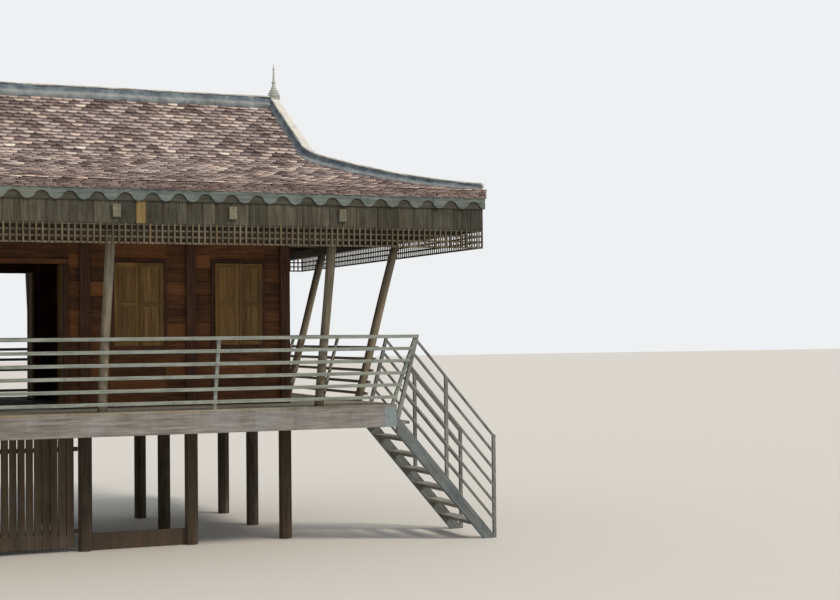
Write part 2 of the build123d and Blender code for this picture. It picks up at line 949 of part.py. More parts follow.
# Slatted screen between the middle stilts of the front row, and low boards beside it
with BuildPart() as undercroft_screen:
    slat_back = -wall_y
    for left, right in zip(post_lines[1:3], post_lines[2:4]):
        span = (left + stilt_width / 2, right - stilt_width / 2)
        count = int((span[1] - span[0]) / slat_pitch)
        margin = (span[1] - span[0] - count * slat_pitch) / 2
        for level in (riser, girder_under - riser):
            block(span, (slat_back, slat_back + screen_rail / 2), (level, level + screen_rail))
        for index in range(count):
            start = span[0] + margin + index * slat_pitch
            block(
                (start, start + slat_width),
                (slat_back - slat_board, slat_back),
                (slat_ground_gap, girder_under),
            )
    span = (post_lines[3] + stilt_width / 2, post_lines[4] - stilt_width / 2)
    block(span, (slat_back, slat_back + screen_rail / 2), (0, 2 * low_board_height))
save(undercroft_screen, "undercroft_screen")
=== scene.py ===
"""Looks of a timber stilt house: true-scale tiles, boards, lattice bars and aged finishes.

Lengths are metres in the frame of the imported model. +X runs along the front to the stair, the
front faces -Y and +Z is up. Shapes are worked out with numpy as whole arrays: straight timbers are
a section carried along a line, tiles are one outline placed many times, and the caps, the
scalloped boards and the finials are grids of two parameters. Each timber carries its own grain
coordinates and tone, which its finish reads.
"""

import logging
from dataclasses import dataclass, field
from enum import Enum
from functools import partial
from typing import Any, Callable, Sequence

import bpy
import numpy as np
from mathutils import Euler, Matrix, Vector


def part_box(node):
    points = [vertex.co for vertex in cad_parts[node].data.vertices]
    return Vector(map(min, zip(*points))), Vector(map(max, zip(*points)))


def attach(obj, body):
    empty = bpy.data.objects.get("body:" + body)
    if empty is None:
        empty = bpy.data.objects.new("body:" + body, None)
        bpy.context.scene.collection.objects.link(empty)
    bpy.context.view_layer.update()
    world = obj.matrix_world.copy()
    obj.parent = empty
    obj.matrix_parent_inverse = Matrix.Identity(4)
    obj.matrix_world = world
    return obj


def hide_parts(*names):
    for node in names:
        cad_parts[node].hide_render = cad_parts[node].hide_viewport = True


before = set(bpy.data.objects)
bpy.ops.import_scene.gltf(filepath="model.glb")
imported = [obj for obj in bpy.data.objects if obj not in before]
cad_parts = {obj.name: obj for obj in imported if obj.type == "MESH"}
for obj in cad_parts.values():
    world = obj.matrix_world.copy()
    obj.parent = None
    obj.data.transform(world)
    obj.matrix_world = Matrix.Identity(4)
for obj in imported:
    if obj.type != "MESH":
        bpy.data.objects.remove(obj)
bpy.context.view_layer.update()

Array = np.ndarray
Links = dict[str | int, Any]
Adder = Callable[..., bpy.types.Node]
log = logging.getLogger("stilt_house")

BODY = "root"
UP = np.array((0.0, 0.0, 1.0))
# Signs of X and Y at the corners of a plan.
QUADRANTS = ((-1, -1), (-1, 1), (1, -1), (1, 1))

# Higher than the house, for limits that hold only the plan.
FAR = 99.0
# Each timber and tile reads its pattern from a place of its own, up to this far off.
SPREAD = 40.0
# A timber's tone times this, less its whole part, is its second random number.
SECOND_TONE = 7.31
# Noise values that take the dark, the body and the pale colour of a finish.
SHADES = (0.34, 0.5, 0.66)
# Decimals to which corners are rounded before they are merged, a tenth of a millimetre.
WELD_DIGITS = 4


class Slot(Enum):
    """Material slots of the record."""

    WEATHERED = "weathered_timber"
    WALL = "wall_timber"
    TILE = "clay_tile"
    CEMENT = "cement_cap"


class Side(Enum):
    """Sides of the house, each with the plan direction that it faces."""

    FRONT = (0, -1)
    REAR = (0, 1)
    LEFT = (-1, 0)
    RIGHT = (1, 0)

    @property
    def long(self) -> bool:
        """Whether the side runs along X."""
        return self.value[0] == 0

    @property
    def trim(self) -> str:
        """Last word of the names of this side's trim nodes."""
        return self.name.lower() if self.long else "ends"

    def place(self, local: Array, middle: float) -> Array:
        """Turn points of this side into points of the house.

        Args:
            local: Points as (along, outwards, upright), a right-handed frame.
            middle: X of the house's middle.

        Returns:
            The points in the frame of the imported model.
        """
        out = np.array((*self.value, 0.0))
        along = np.cross(out, UP)
        return local[..., :1] * along + local[..., 1:2] * out + local[..., 2:] * UP + (middle, 0, 0)


def linear(hex_colour: str) -> tuple[float, float, float, float]:
    """Turn an sRGB hex colour into linear red, green, blue and alpha.

    Args:
        hex_colour: Six hexadecimal digits after a hash sign.

    Returns:
        The linear colour with an alpha of one.
    """
    parts = np.array([int(hex_colour[start : start + 2], 16) for start in (1, 3, 5)]) / 255
    curve = np.where(parts <= 0.04045, parts / 12.92, ((parts + 0.055) / 1.055) ** 2.4)
    return (*curve.tolist(), 1.0)


def connect(node: bpy.types.Node, links: Links) -> None:
    """Set a node's inputs.

    Inputs 1 to 4 of a Map Range are the ends of the range that it reads and of the one that it
    gives. Input 0 of a Mix is the share, and 2 and 3, or 6 and 7 for colours, are what it mixes.

    Args:
        node: Node whose inputs are set.
        links: Input name or index to a plain value, a socket, or a node that stands for its first
            output in use.
    """
    for key, value in links.items():
        if isinstance(value, bpy.types.Node):
            value = next(output for output in value.outputs if output.enabled)
        if isinstance(value, bpy.types.NodeSocket):
            node.id_data.links.new(value, node.inputs[key])
        else:
            node.inputs[key].default_value = value


def add_node(
    tree: bpy.types.NodeTree, kind: str, links: Links | None = None, **settings: Any
) -> bpy.types.Node:
    """Add a shader node with its settings and links.

    Args:
        tree: Node tree of the material.
        kind: Type name of the node without its ShaderNode prefix.
        links: Inputs to set, as connect takes them.
        settings: Attributes of the node. For a colour ramp, stops lists places and hex colours.

    Returns:
        The new node.
    """
    node = tree.nodes.new("ShaderNode" + kind)
    stops = settings.pop("stops", ())
    for name, value in settings.items():
        setattr(node, name, value)
    connect(node, links or {})
    if stops:
        elements = node.color_ramp.elements
        elements.remove(elements[1])
        for place, colour in stops[1:]:
            elements.new(place).color = linear(colour)
        elements[0].position, elements[0].color = stops[0][0], linear(stops[0][1])
    return node


@dataclass(frozen=True)
class Finish:
    """A procedural material, made once and shared by the pieces that use it."""

    name: str

    def sockets(self, add: Adder) -> Links:
        """Give the shader's inputs; each kind of finish has its own."""
        raise NotImplementedError

    def build(self) -> bpy.types.Material:
        """Make the material on first use.

        Returns:
            The material.
        """
        if self.name in bpy.data.materials:
            return bpy.data.materials[self.name]
        material = bpy.data.materials.new(self.name)
        material.use_nodes = True
        tree = material.node_tree
        connect(tree.nodes["Principled BSDF"], self.sockets(partial(add_node, tree)))
        return material


@dataclass(frozen=True)
class Timber(Finish):
    """Sawn hardwood that has aged outdoors.

    Growth rings show as streaks along the grain, sun turns upper faces and patches silver, and rain
    leaves dark runs. Pores and fine rings are about 1 mm wide, which is too fine to show in the
    render, so the fine streaks are drawn 4 mm wide. Each timber's tone makes it lighter or darker,
    and some timbers are warmer than the rest.
    """

    dark: str
    body: str
    pale: str
    warm: str
    silver: str
    greying: float = 0.5
    reach: float = 0.3
    warm_share: float = 0.5
    stain: str = "#1d1a15"
    stain_share: float = 0.45
    roughness: float = 0.8
    fine_streak: float = 0.004
    broad_streak: float = 0.03
    silver_patch: float = 0.4
    rain_run: float = 0.06
    groove: float = 0.003

    def sockets(self, add: Adder) -> Links:
        """Read grain, tone and place, and give the shader's inputs.

        Args:
            add: Function that adds a node to the material.

        Returns:
            Input names of the shader and what they are set to.
        """
        grain = add("Attribute", attribute_name="grain").outputs["Vector"]
        tone = add("Attribute", attribute_name="tone").outputs["Fac"]
        place = add("TexCoord").outputs["Object"]

        # Streaks are drawn out along the grain to 0.4 m or so.
        along = add("Mapping", {"Vector": grain, "Scale": (0.01, 1, 1)})
        streaks = {"Vector": along, "Scale": 1 / self.fine_streak, "Detail": 4, "Roughness": 0.6}
        fine = add("TexNoise", streaks)
        along = add("Mapping", {"Vector": grain, "Scale": (0.07, 1, 1)})
        streaks = {"Vector": along, "Scale": 1 / self.broad_streak, "Detail": 5, "Roughness": 0.6}
        broad = add("TexNoise", streaks)
        figure = add("Mix", {0: 0.65, 2: fine, 3: broad})
        stops = tuple(zip(SHADES, (self.dark, self.body, self.pale)))
        colour = add("ValToRGB", {"Fac": figure}, stops=stops)

        # The second random number picks the warm timbers, and the tone sets how light each is.
        second = add("Math", {0: tone, 1: SECOND_TONE}, operation="MULTIPLY")
        second = add("Math", {0: second}, operation="FRACT")
        warmth = add("MapRange", {"Value": second, 1: 0.75, 2: 0.95, 3: 0.0, 4: self.warm_share})
        colour = add("Mix", {0: warmth, 6: colour, 7: linear(self.warm)}, data_type="RGBA")
        shade = add("MapRange", {"Value": tone, 3: 1 - self.reach, 4: 1 + self.reach})
        colour = add("HueSaturation", {"Color": colour, "Value": shade})

        # Upper faces and some patches have gone silver.
        facing = add("SeparateXYZ", {"Vector": add("NewGeometry").outputs["Normal"]}).outputs["Z"]
        bleached = add("MapRange", {"Value": facing, 1: 0.1, 2: 0.9})
        patches = {"Vector": place, "Scale": 1 / self.silver_patch, "Detail": 4, "Roughness": 0.65}
        worn = add("MapRange", {"Value": add("TexNoise", patches), 1: 0.45, 2: 0.68})
        grey = add("Math", {0: bleached, 1: worn}, operation="MAXIMUM")
        grey = add("Math", {0: grey, 1: self.greying}, operation="MULTIPLY")
        silver = add("Mix", {0: 0.4, 6: linear(self.silver), 7: colour}, data_type="RGBA")
        colour = add("Mix", {0: grey, 6: colour, 7: silver}, data_type="RGBA")

        # Rain leaves dark runs, eight times as tall as they are wide.
        down = add("Mapping", {"Vector": place, "Scale": (1, 1, 0.12)})
        runs = {"Vector": down, "Scale": 1 / self.rain_run, "Detail": 4, "Roughness": 0.65}
        stain = {"Value": add("TexNoise", runs), 1: 0.54, 2: 0.78, 4: self.stain_share}
        stained = add("MapRange", stain)
        colour = add("Mix", {0: stained, 6: colour, 7: linear(self.stain)}, data_type="RGBA")

        low, high = self.roughness - 0.1, self.roughness + 0.1
        rough = add("MapRange", {"Value": fine, 1: 0.3, 2: 0.7, 3: low, 4: high})
        bump = add("Bump", {"Height": figure, "Strength": 0.5, "Distance": self.groove})
        return {"Base Color": colour, "Roughness": rough, "Normal": bump, "Specular IOR Level": 0.3}


@dataclass(frozen=True)
class ClayTile(Finish):
    """Low-fired clay roof tile, pressed by hand and never glazed.

    Each tile took its own colour in the kiln. Age gives a mauve bloom, black algae in clouds of a
    metre or so, and lichen spots of 50 mm. The pressed clay is mottled every 35 mm.
    """

    tones: tuple[tuple[float, str], ...]
    algae: str = "#40383a"
    lichen: str = "#c2b6ac"
    mottle_size: float = 0.035
    cloud_size: float = 1.3
    spot_size: float = 0.05
    tail_light: float = 1.38
    head_light: float = 0.28
    pit: float = 0.002

    def sockets(self, add: Adder) -> Links:
        """Read each tile's tone and give the shader's inputs.

        Args:
            add: Function that adds a node to the material.

        Returns:
            Input names of the shader and what they are set to.
        """
        tone = add("Attribute", attribute_name="tone").outputs["Fac"]
        grain = add("Attribute", attribute_name="grain").outputs["Vector"]
        place = add("TexCoord").outputs["Object"]
        colour = add("ValToRGB", {"Fac": tone}, stops=self.tones)
        mottles = {"Vector": grain, "Scale": 1 / self.mottle_size, "Detail": 5, "Roughness": 0.65}
        mottle = add("TexNoise", mottles)
        level = add("MapRange", {"Value": mottle, 1: 0.3, 2: 0.7, 3: 0.8, 4: 1.22})
        colour = add("HueSaturation", {"Color": colour, "Value": level})

        # Algae in clouds, then lichen in spots.
        clouds = {"Vector": place, "Scale": 1 / self.cloud_size, "Detail": 5, "Roughness": 0.65}
        mossy = add("MapRange", {"Value": add("TexNoise", clouds), 1: 0.48, 2: 0.72, 4: 0.6})
        colour = add("Mix", {0: mossy, 6: colour, 7: linear(self.algae)}, data_type="RGBA")
        spots = {"Vector": place, "Scale": 1 / self.spot_size, "Detail": 3, "Roughness": 0.7}
        spotted = add("MapRange", {"Value": add("TexNoise", spots), 1: 0.6, 2: 0.7, 4: 0.6})
        colour = add("Mix", {0: spotted, 6: colour, 7: linear(self.lichen)}, data_type="RGBA")

        # Painted light and shade: a lit tail, passing into shade under the next course's tail.
        up = add("SeparateXYZ", {"Vector": grain}).outputs["Y"]
        painted_shade = {"Value": up, 1: 0.02, 2: 0.115, 3: self.tail_light, 4: self.head_light}
        light = add("MapRange", painted_shade, interpolation_type="SMOOTHSTEP")
        colour = add("HueSaturation", {"Color": colour, "Value": light})

        rough = add("MapRange", {"Value": mottle, 1: 0.3, 2: 0.7, 3: 0.78, 4: 0.95})
        bump = add("Bump", {"Height": mottle, "Strength": 0.5, "Distance": self.pit})
        return {"Base Color": colour, "Roughness": rough, "Normal": bump, "Specular IOR Level": 0.25}


@dataclass(frozen=True)
class Mortar(Finish):
    """Hand-trowelled lime mortar of the ridge and hip caps.

    It is grey and blotched, with black runs down its sides. The piece's tone says how much of the
    pale top colour is mixed in; on the caps most of it is on the coping's top, where it is a
    painted highlight of sunlight. Its sand is 1 to 2 mm, which is too fine to show in the render,
    so the grit is drawn at 12 mm.
    """

    dark: str
    body: str
    pale: str
    top: str
    algae: str = "#3a3f3d"
    blotch_size: float = 0.25
    run_width: float = 0.08
    grit: float = 0.012
    pit: float = 0.003

    def sockets(self, add: Adder) -> Links:
        """Read the place and the tone, and give the shader's inputs.

        Args:
            add: Function that adds a node to the material.

        Returns:
            Input names of the shader and what they are set to.
        """
        place = add("TexCoord").outputs["Object"]
        blotches = {"Vector": place, "Scale": 1 / self.blotch_size, "Detail": 6, "Roughness": 0.68}
        blotch = add("TexNoise", blotches)
        stops = tuple(zip(SHADES, (self.dark, self.body, self.pale)))
        colour = add("ValToRGB", {"Fac": blotch}, stops=stops)

        # Algae runs down the sides, seven times as tall as it is wide.
        down = add("Mapping", {"Vector": place, "Scale": (1, 1, 0.15)})
        runs = {"Vector": down, "Scale": 1 / self.run_width, "Detail": 4, "Roughness": 0.7}
        black = add("MapRange", {"Value": add("TexNoise", runs), 1: 0.52, 2: 0.76, 4: 0.65})
        colour = add("Mix", {0: black, 6: colour, 7: linear(self.algae)}, data_type="RGBA")

        # The pale top colour, by the tone; on the caps' top it is a painted highlight of sunlight.
        tone = add("Attribute", attribute_name="tone").outputs["Fac"]
        pale_and_highlight_share = add("MapRange", {"Value": blotch, 1: 0.3, 2: 0.55, 3: 0.6, 4: 1.0})
        pale_and_highlight_share = add("Math", {0: pale_and_highlight_share, 1: tone}, operation="MULTIPLY")
        colour = add("Mix", {0: pale_and_highlight_share, 6: colour, 7: linear(self.top)}, data_type="RGBA")

        sand = {"Vector": place, "Scale": 1 / self.grit, "Detail": 4, "Roughness": 0.7}
        grit = add("TexNoise", sand)
        bump = add("Bump", {"Height": grit, "Strength": 0.6, "Distance": self.pit})
        rough = add("MapRange", {"Value": grit, 1: 0.3, 2: 0.7, 3: 0.82, 4: 0.97})
        return {"Base Color": colour, "Roughness": rough, "Normal": bump, "Specular IOR Level": 0.25}


# Fired clay: mauve browns that change from tile to tile; the few palest are painted sun glints.
TILE_TONES = (
    (0.0, "#5a4b49"),
    (0.25, "#82716d"),
    (0.5, "#9b8b87"),
    (0.75, "#b0a19d"),
    (0.88, "#bcaca5"),
    (0.94, "#c8b3a6"),
    (0.98, "#d3c5ba"),
    (1.0, "#ddd4ca"),
)
TILES = ClayTile("fired_clay_roof_tile", TILE_TONES)
# Lime mortar: blue grey sides with black runs; its pale top is a painted highlight of sunlight.
CAPS = Mortar("limewashed_cap_mortar", "#525c64", "#6c7881", "#8a959b", "#dedcd4")
# The same mortar, turned round a finial and kept pale by the rain.
FINIAL = Mortar("limewashed_finial_mortar", "#8d9494", "#a7adab", "#bfc3bf", "#d6d6cf")
# Sawn hardwood in sun and rain: grey green, with little of the wood's brown left.
FASCIA = Timber(
    "weathered_fascia_board", "#454b48", "#5c6461", "#7a8380", "#6a6d60", "#87918f", 0.4, 0.35
)
# Sheltered boards from different trees: brown greys that change from board to board,
# darkened in part as painted shade of the eave.
FRIEZE = Timber(
    "weathered_frieze_board", "#2d2a22", "#474337", "#66614f", "#927743", "#6d706a", 0.35, 0.5
)
# The plain board behind the lobes, darker than the fascia as painted shade.
BACKING = Timber(
    "shaded_backing_board", "#2f2e26", "#45443a", "#5c5a4c", "#5a5038", "#63665f", 0.3, 0.2
)
# Thin sawn bars: brown grey, with dry pale edges.
LATTICE = Timber(
    "weathered_lattice_bar", "#3b352b", "#5a5343", "#79705d", "#6e5a3c", "#86857a", 0.35, 0.3
)
# Sawn ends of beams: dry, pale and a little green.
BEAM = Timber(
    "weathered_beam_end", "#504c3e", "#6e6a5a", "#8c8876", "#8a7a52", "#8f9086", 0.4, 0.25
)
# Oiled hardwood behind the gallery: red brown, with the figure of the wood.
WALL = Timber("oiled_wall_board", "#3c2416", "#5f3c24", "#825735", "#8a5a30", "#75604b", 0.12, 0.35)
# Oiled posts and frames: a darker brown than the boards.
FRAME = Timber("oiled_wall_frame", "#2f2018", "#493023", "#644433", "#5c3c28", "#6b5a4a", 0.12, 0.2)
# Oiled shutters and doors of a yellower wood.
SHUTTER = Timber(
    "oiled_shutter_board", "#5c4428", "#7d6039", "#987a4d", "#9c7a44", "#857659", 0.15, 0.2
)
# Peeled round posts: grey brown, streaked along the grain.
POST = Timber(
    "weathered_round_post", "#544b3c", "#746b5a", "#918a7a", "#8f7250", "#9a9c93", 0.4, 0.2
)
# Planed rails in full sun and rain: silver with a green cast.
RAIL = Timber("weathered_rail", "#6b706a", "#8b928b", "#a8afa8", "#96886e", "#bcc1b9", 0.55, 0.25)
# Wide boards along the floor's edge: a warm grey, with few rain marks under the eave.
RIM_TONES = ("#55514f", "#77736f", "#989591", "#857a6c", "#a3a9aa")
RIM = Timber("weathered_rim_board", *RIM_TONES, 0.5, 0.2, stain_share=0.15)
# Cut ends of the same timber, which weather to blue grey.
RIM_END = Timber(
    "weathered_end_grain", "#5f6c70", "#7d8b8f", "#9ba7aa", "#8b9090", "#b0babb", 0.4, 0.15
)
# Floor boards and treads: worn pale by feet.
FLOOR = Timber("worn_floor_board", "#5b5850", "#7c786e", "#98948a", "#85765e", "#aeb1ab", 0.6, 0.3)
# Stair strings: rough, damp and dark grey.
STRINGER = Timber(
    "weathered_stair_timber", "#3f4445", "#595f61", "#757b7d", "#6a645a", "#8c9493", 0.5, 0.2
)
# Stair rails: grey, darker than the gallery's for want of sun.
STAIR_RAIL = Timber(
    "weathered_stair_rail", "#51524f", "#6d6f6c", "#8c8c89", "#7d6f62", "#a3a5a2", 0.5, 0.25
)
# Rough frame timber in the dry dark under the roof and the floor: dull brown.
SHADED = Timber(
    "shaded_frame_timber", "#2e271f", "#4a3f33", "#665848", "#5f4a33", "#77756b", 0.25, 0.3
)


@dataclass
class Shape:
    """One mesh that is being gathered, with grain coordinates and a tone for each vertex."""

    points: Array
    faces: list[Array]
    grain: Array | None = None
    tone: Array | None = None

    def __post_init__(self) -> None:
        """Flatten the points, and give plain pieces a grain along X and a middle tone."""
        self.grain = (self.points if self.grain is None else self.grain).reshape(-1, 3).copy()
        self.points = self.points.reshape(-1, 3)
        self.tone = np.full(len(self.points), 0.5) if self.tone is None else self.tone.reshape(-1)

    @classmethod
    def joined(cls, shapes: Sequence["Shape"]) -> "Shape":
        """Join shapes into one.

        Args:
            shapes: Shapes in the order in which they are joined.

        Returns:
            The joined shape.
        """
        starts = np.cumsum([0] + [len(shape.points) for shape in shapes])
        faces = [face + int(start) for shape, start in zip(shapes, starts) for face in shape.faces]
        points, grain, tone = (
            np.concatenate([getattr(shape, name) for shape in shapes])
            for name in ("points", "grain", "tone")
        )
        return cls(points, faces, grain, tone)

    def turned(self, side: Side, middle: float) -> "Shape":
        """Return the shape, drawn as along, outwards and upright, on a side of the house."""
        return Shape(side.place(self.points, middle), self.faces, self.grain, self.tone)

    def to_object(
        self, name: str, finish: Finish, slot: Slot, replaces: Sequence[str] = (), smooth: bool = False
    ) -> bpy.types.Object:
        """Make the Blender object, let it ride on the house and log it.

        Args:
            name: Name of the piece.
            finish: Finish of the piece.
            slot: Slot of the record that the finish stands for; not used.
            replaces: CAD nodes that the piece stands for.
            smooth: Whether its faces are shaded smooth.

        Returns:
            The new object.
        """
        mesh = bpy.data.meshes.new(name)
        sizes = np.concatenate([np.full(len(face), face.shape[1]) for face in self.faces])
        corners = np.concatenate([face.ravel() for face in self.faces])
        mesh.vertices.add(len(self.points))
        mesh.vertices.foreach_set("co", self.points.astype(np.float32).ravel())
        mesh.loops.add(len(corners))
        mesh.loops.foreach_set("vertex_index", corners.astype(np.int32))
        mesh.polygons.add(len(sizes))
        mesh.polygons.foreach_set("loop_start", (np.cumsum(sizes) - sizes).astype(np.int32))
        mesh.polygons.foreach_set("use_smooth", np.full(len(sizes), smooth))
        mesh.update(calc_edges=True)
        grain = mesh.attributes.new("grain", "FLOAT_VECTOR", "POINT")
        grain.data.foreach_set("vector", self.grain.astype(np.float32).ravel())
        tone = mesh.attributes.new("tone", "FLOAT", "POINT")
        tone.data.foreach_set("value", self.tone.astype(np.float32))
        mesh.materials.append(finish.build())
        piece = bpy.data.objects.new(name, mesh)
        bpy.context.scene.collection.objects.link(piece)
        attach(piece, BODY)
        if replaces:
            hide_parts(*replaces)
        log.info("%s: %d triangles", name, (sizes - 2).sum())
        return piece


def unit(vectors: Array) -> Array:
    """Scale vectors to a length of one."""
    return vectors / np.linalg.norm(vectors, axis=-1, keepdims=True)


def smoothed(values: Array, reach: int) -> Array:
    """Average each row of an array with its neighbours, and hold the first and last row.

    Args:
        values: Rows to smooth.
        reach: Rows counted on each side.

    Returns:
        The smoothed rows.
    """
    padded = np.pad(values, ((reach, reach), (0, 0)), mode="edge")
    rows = np.arange(len(values))[:, None] + np.arange(2 * reach + 1)
    mixed = padded[rows].mean(axis=1)
    mixed[0], mixed[-1] = values[0], values[-1]
    return mixed


def loft_faces(stations: int, ring: int, count: int = 1) -> list[Array]:
    """Faces of sections joined in order, with one face on each end.

    Each section turns counter-clockwise, seen from where the next section lies.

    Args:
        stations: Sections of one piece.
        ring: Points of a section.
        count: Pieces, one after the other.

    Returns:
        The faces, grouped by their number of corners.
    """
    index = np.arange(count * stations * ring).reshape(count, stations, ring)
    turned = np.roll(index, -1, axis=2)
    quads = np.stack([index[:, :-1], turned[:, :-1], turned[:, 1:], index[:, 1:]], axis=-1)
    return [quads.reshape(-1, 4), index[:, 0, ::-1], index[:, -1]]


def split(low: Array, high: Array, axis: int, edges: Array) -> Array:
    """Cut a box across an axis.

    Args:
        low: Lowest corner of the box.
        high: Highest corner of the box.
        axis: Axis that is cut across.
        edges: Places of the cuts, both ends included.

    Returns:
        Lowest and highest corner of each part.
    """
    boxes = np.broadcast_to(np.array([low, high], float), (len(edges) - 1, 2, 3)).copy()
    boxes[:, 0, axis], boxes[:, 1, axis] = edges[:-1], edges[1:]
    return boxes


# Corners of a square section, each twice, and the direction in which a chamfer moves each in.
SQUARE = np.array([(1, 1), (1, 1), (-1, 1), (-1, 1), (-1, -1), (-1, -1), (1, -1), (1, -1)], float)
SQUARE_INSET = np.array([(1, 0), (0, 1), (0, 1), (1, 0), (1, 0), (0, 1), (0, 1), (1, 0)], float)


@dataclass
class Joinery:
    """Straight timbers worked out together as a section carried along a line.

    A point is start + share * (end - start) + across * a + up * b, where a and b go round the
    section, and a slow wave moves and thins the section along the timber by a few millimetres.
    A timber with no sides is square with chamfered corners. A chamfer and a bow take at most a
    share of half the section, so that thin timbers stay whole.
    """

    seed: int
    chamfer: float = 0.004
    bow: float = 0.0
    wear: float = 0.0
    stations: int = 2
    sides: int = 0
    most_chamfer: float = 0.3
    most_bow: float = 0.08
    wear_wave: float = 7.0

    def build(
        self, start: Array, end: Array, side: Array, size: Array, tone: Array | None = None
    ) -> Shape:
        """Work out the timbers.

        Args:
            start: First end of each timber's middle line.
            end: Second end of each timber's middle line.
            side: Direction of each timber's first section size.
            size: Both section sizes of each timber.
            tone: Tone of each timber, or None for a random one.

        Returns:
            The timbers as one shape.
        """
        rng = np.random.default_rng(self.seed)
        count = len(start)
        half = np.broadcast_to(size, (count, 2)) / 2
        run = end - start
        length = np.linalg.norm(run, axis=1)
        ahead = unit(run)
        across = unit(side - ahead * np.sum(side * ahead, axis=1, keepdims=True))
        up = np.cross(ahead, across)
        if self.sides:
            angle = 2 * np.pi * np.arange(self.sides) / self.sides
            section = half[:, None] * np.stack([np.cos(angle), np.sin(angle)], axis=1)
        else:
            inset = np.minimum(self.chamfer, self.most_chamfer * half.min(axis=1))[:, None, None]
            section = half[:, None] * SQUARE - SQUARE * SQUARE_INSET * inset
        share = np.linspace(0, 1, self.stations)
        phase = rng.uniform(0, 2 * np.pi, (count, 3))
        reach = np.minimum(self.bow, self.most_bow * half)
        sway = reach[:, None] * np.sin(2 * np.pi * share[:, None] + phase[:, None, :2])
        thin = 1 - self.wear * (0.5 + 0.5 * np.sin(self.wear_wave * share + phase[:, 2:]))
        local = section[:, None] * thin[..., None, None] + sway[:, :, None]
        local = np.clip(local, -half[:, None, None], half[:, None, None])
        middle = start[:, None] + run[:, None] * share[:, None]
        across, up = across[:, None, None], up[:, None, None]
        points = middle[:, :, None] + across * local[..., :1] + up * local[..., 1:]
        along = np.broadcast_to((share * length[:, None])[:, :, None, None], (*local.shape[:3], 1))
        grain = np.concatenate([along, local], axis=-1) + rng.uniform(0, SPREAD, (count, 1, 1, 3))
        tone = rng.uniform(0, 1, count) if tone is None else tone
        tones = np.broadcast_to(tone[:, None, None], points.shape[:3])
        return Shape(points, loft_faces(self.stations, section.shape[1], count), grain, tones)

    def fill(self, boxes: Array, axis: int | None = None, tone: Array | None = None) -> Shape:
        """Fill each box with one timber.

        Args:
            boxes: Lowest and highest corner of each box.
            axis: Axis of the grain, or None for each box's longest side.
            tone: Tone of each timber, or None for a random one.

        Returns:
            The timbers as one shape.
        """
        size = boxes[:, 1] - boxes[:, 0]
        rows = np.arange(len(boxes))
        longest = np.argmax(size, axis=1) if axis is None else np.full(len(boxes), axis)
        start, end = boxes.mean(axis=1), boxes.mean(axis=1)
        start[rows, longest] = boxes[rows, 0, longest]
        end[rows, longest] = boxes[rows, 1, longest]
        first, second = (longest + 1) % 3, (longest + 2) % 3
        section = np.stack([size[rows, first], size[rows, second]], axis=1)
        return self.build(start, end, np.eye(3)[first], section, tone)


def solids_of(node: str) -> list[tuple[Array, Array]]:
    """Find each solid of a CAD node by the corners that its triangles share.

    Every corner starts with a label of its own and takes the lowest one in its triangles, until
    no label changes.

    Args:
        node: Name of the CAD node.

    Returns:
        For each solid its corner points and its triangles as indices of them.
    """
    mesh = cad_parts[node].data
    mesh.calc_loop_triangles()
    points = np.empty(len(mesh.vertices) * 3, np.float32)
    mesh.vertices.foreach_get("co", points)
    points = points.reshape(-1, 3)
    triangles = np.empty(len(mesh.loop_triangles) * 3, np.int32)
    mesh.loop_triangles.foreach_get("vertices", triangles)
    rounded = np.round(points, WELD_DIGITS)
    _, first, inverse = np.unique(rounded, axis=0, return_index=True, return_inverse=True)
    merged = points[first].astype(float)
    corners = inverse.ravel()[triangles].reshape(-1, 3)
    label = np.arange(len(merged))
    while True:
        lowest = label[corners].min(axis=1)
        spread = label.copy()
        np.minimum.at(spread, corners.ravel(), np.repeat(lowest, 3))
        if np.array_equal(spread, label):
            break
        label = spread
    solids = []
    for name in np.unique(label[corners[:, 0]]):
        used, local = np.unique(corners[label[corners[:, 0]] == name], return_inverse=True)
        solids.append((merged[used], local.reshape(-1, 3)))
    return solids


def boxes_of(node: str) -> Array:
    """Lowest and highest corner of each solid of a CAD node."""
    return np.array([(points.min(axis=0), points.max(axis=0)) for points, _ in solids_of(node)])


@dataclass
class WornCopy:
    """A CAD node's own solids with softened edges, grain along each solid and tones of their own.

    With a pitch, each solid is a row of upright slats at that pitch, and each slat has its tone.
    With a reach, which is a middle, a half length and a half width, the copy ends there in plan.
    """

    finish: Finish
    slot: Slot = Slot.WEATHERED
    edge: float = 0.005
    segments: int = 2
    pitch: float = 0.0
    joint: float = 0.006
    slat_shift: tuple[float, float, float] = (1.7, 3.1, 2.3)
    reach: tuple[float, float, float] | None = None

    def build(self, node: str, seed: int) -> None:
        """Copy the node, give each solid its grain and replace the node.

        Args:
            node: Name of the CAD node.
            seed: Seed of the tones.
        """
        rng = np.random.default_rng(seed)
        shapes = []
        for points, triangles in solids_of(node):
            middle = points.mean(axis=0)
            axes = np.linalg.svd(points - middle, full_matrices=False)[2]
            grain = (points - middle) @ axes.T + rng.uniform(0, SPREAD, 3)
            tone = np.full(len(points), rng.uniform(0, 1))
            if self.pitch:
                place = points[:, 0] - points[:, 0].min() + self.joint
                column = np.floor(place / self.pitch).astype(int)
                tone = rng.uniform(0, 1, column.max() + 1)[column]
                grain = points[:, ::-1] + column[:, None] * self.slat_shift
            if self.reach:
                centre, half_x, half_y = self.reach
                low, high = (centre - half_x, -half_y, 0), (centre + half_x, half_y, FAR)
                points = np.clip(points, low, high)
            shapes.append(Shape(points, [triangles], grain, tone))
        piece = Shape.joined(shapes).to_object(f"{node}_timber", self.finish, self.slot, [node])
        if self.edge:
            bevel = piece.modifiers.new("worn_edges", "BEVEL")
            bevel.width = self.edge
            bevel.segments = self.segments
            bevel.limit_method = "ANGLE"


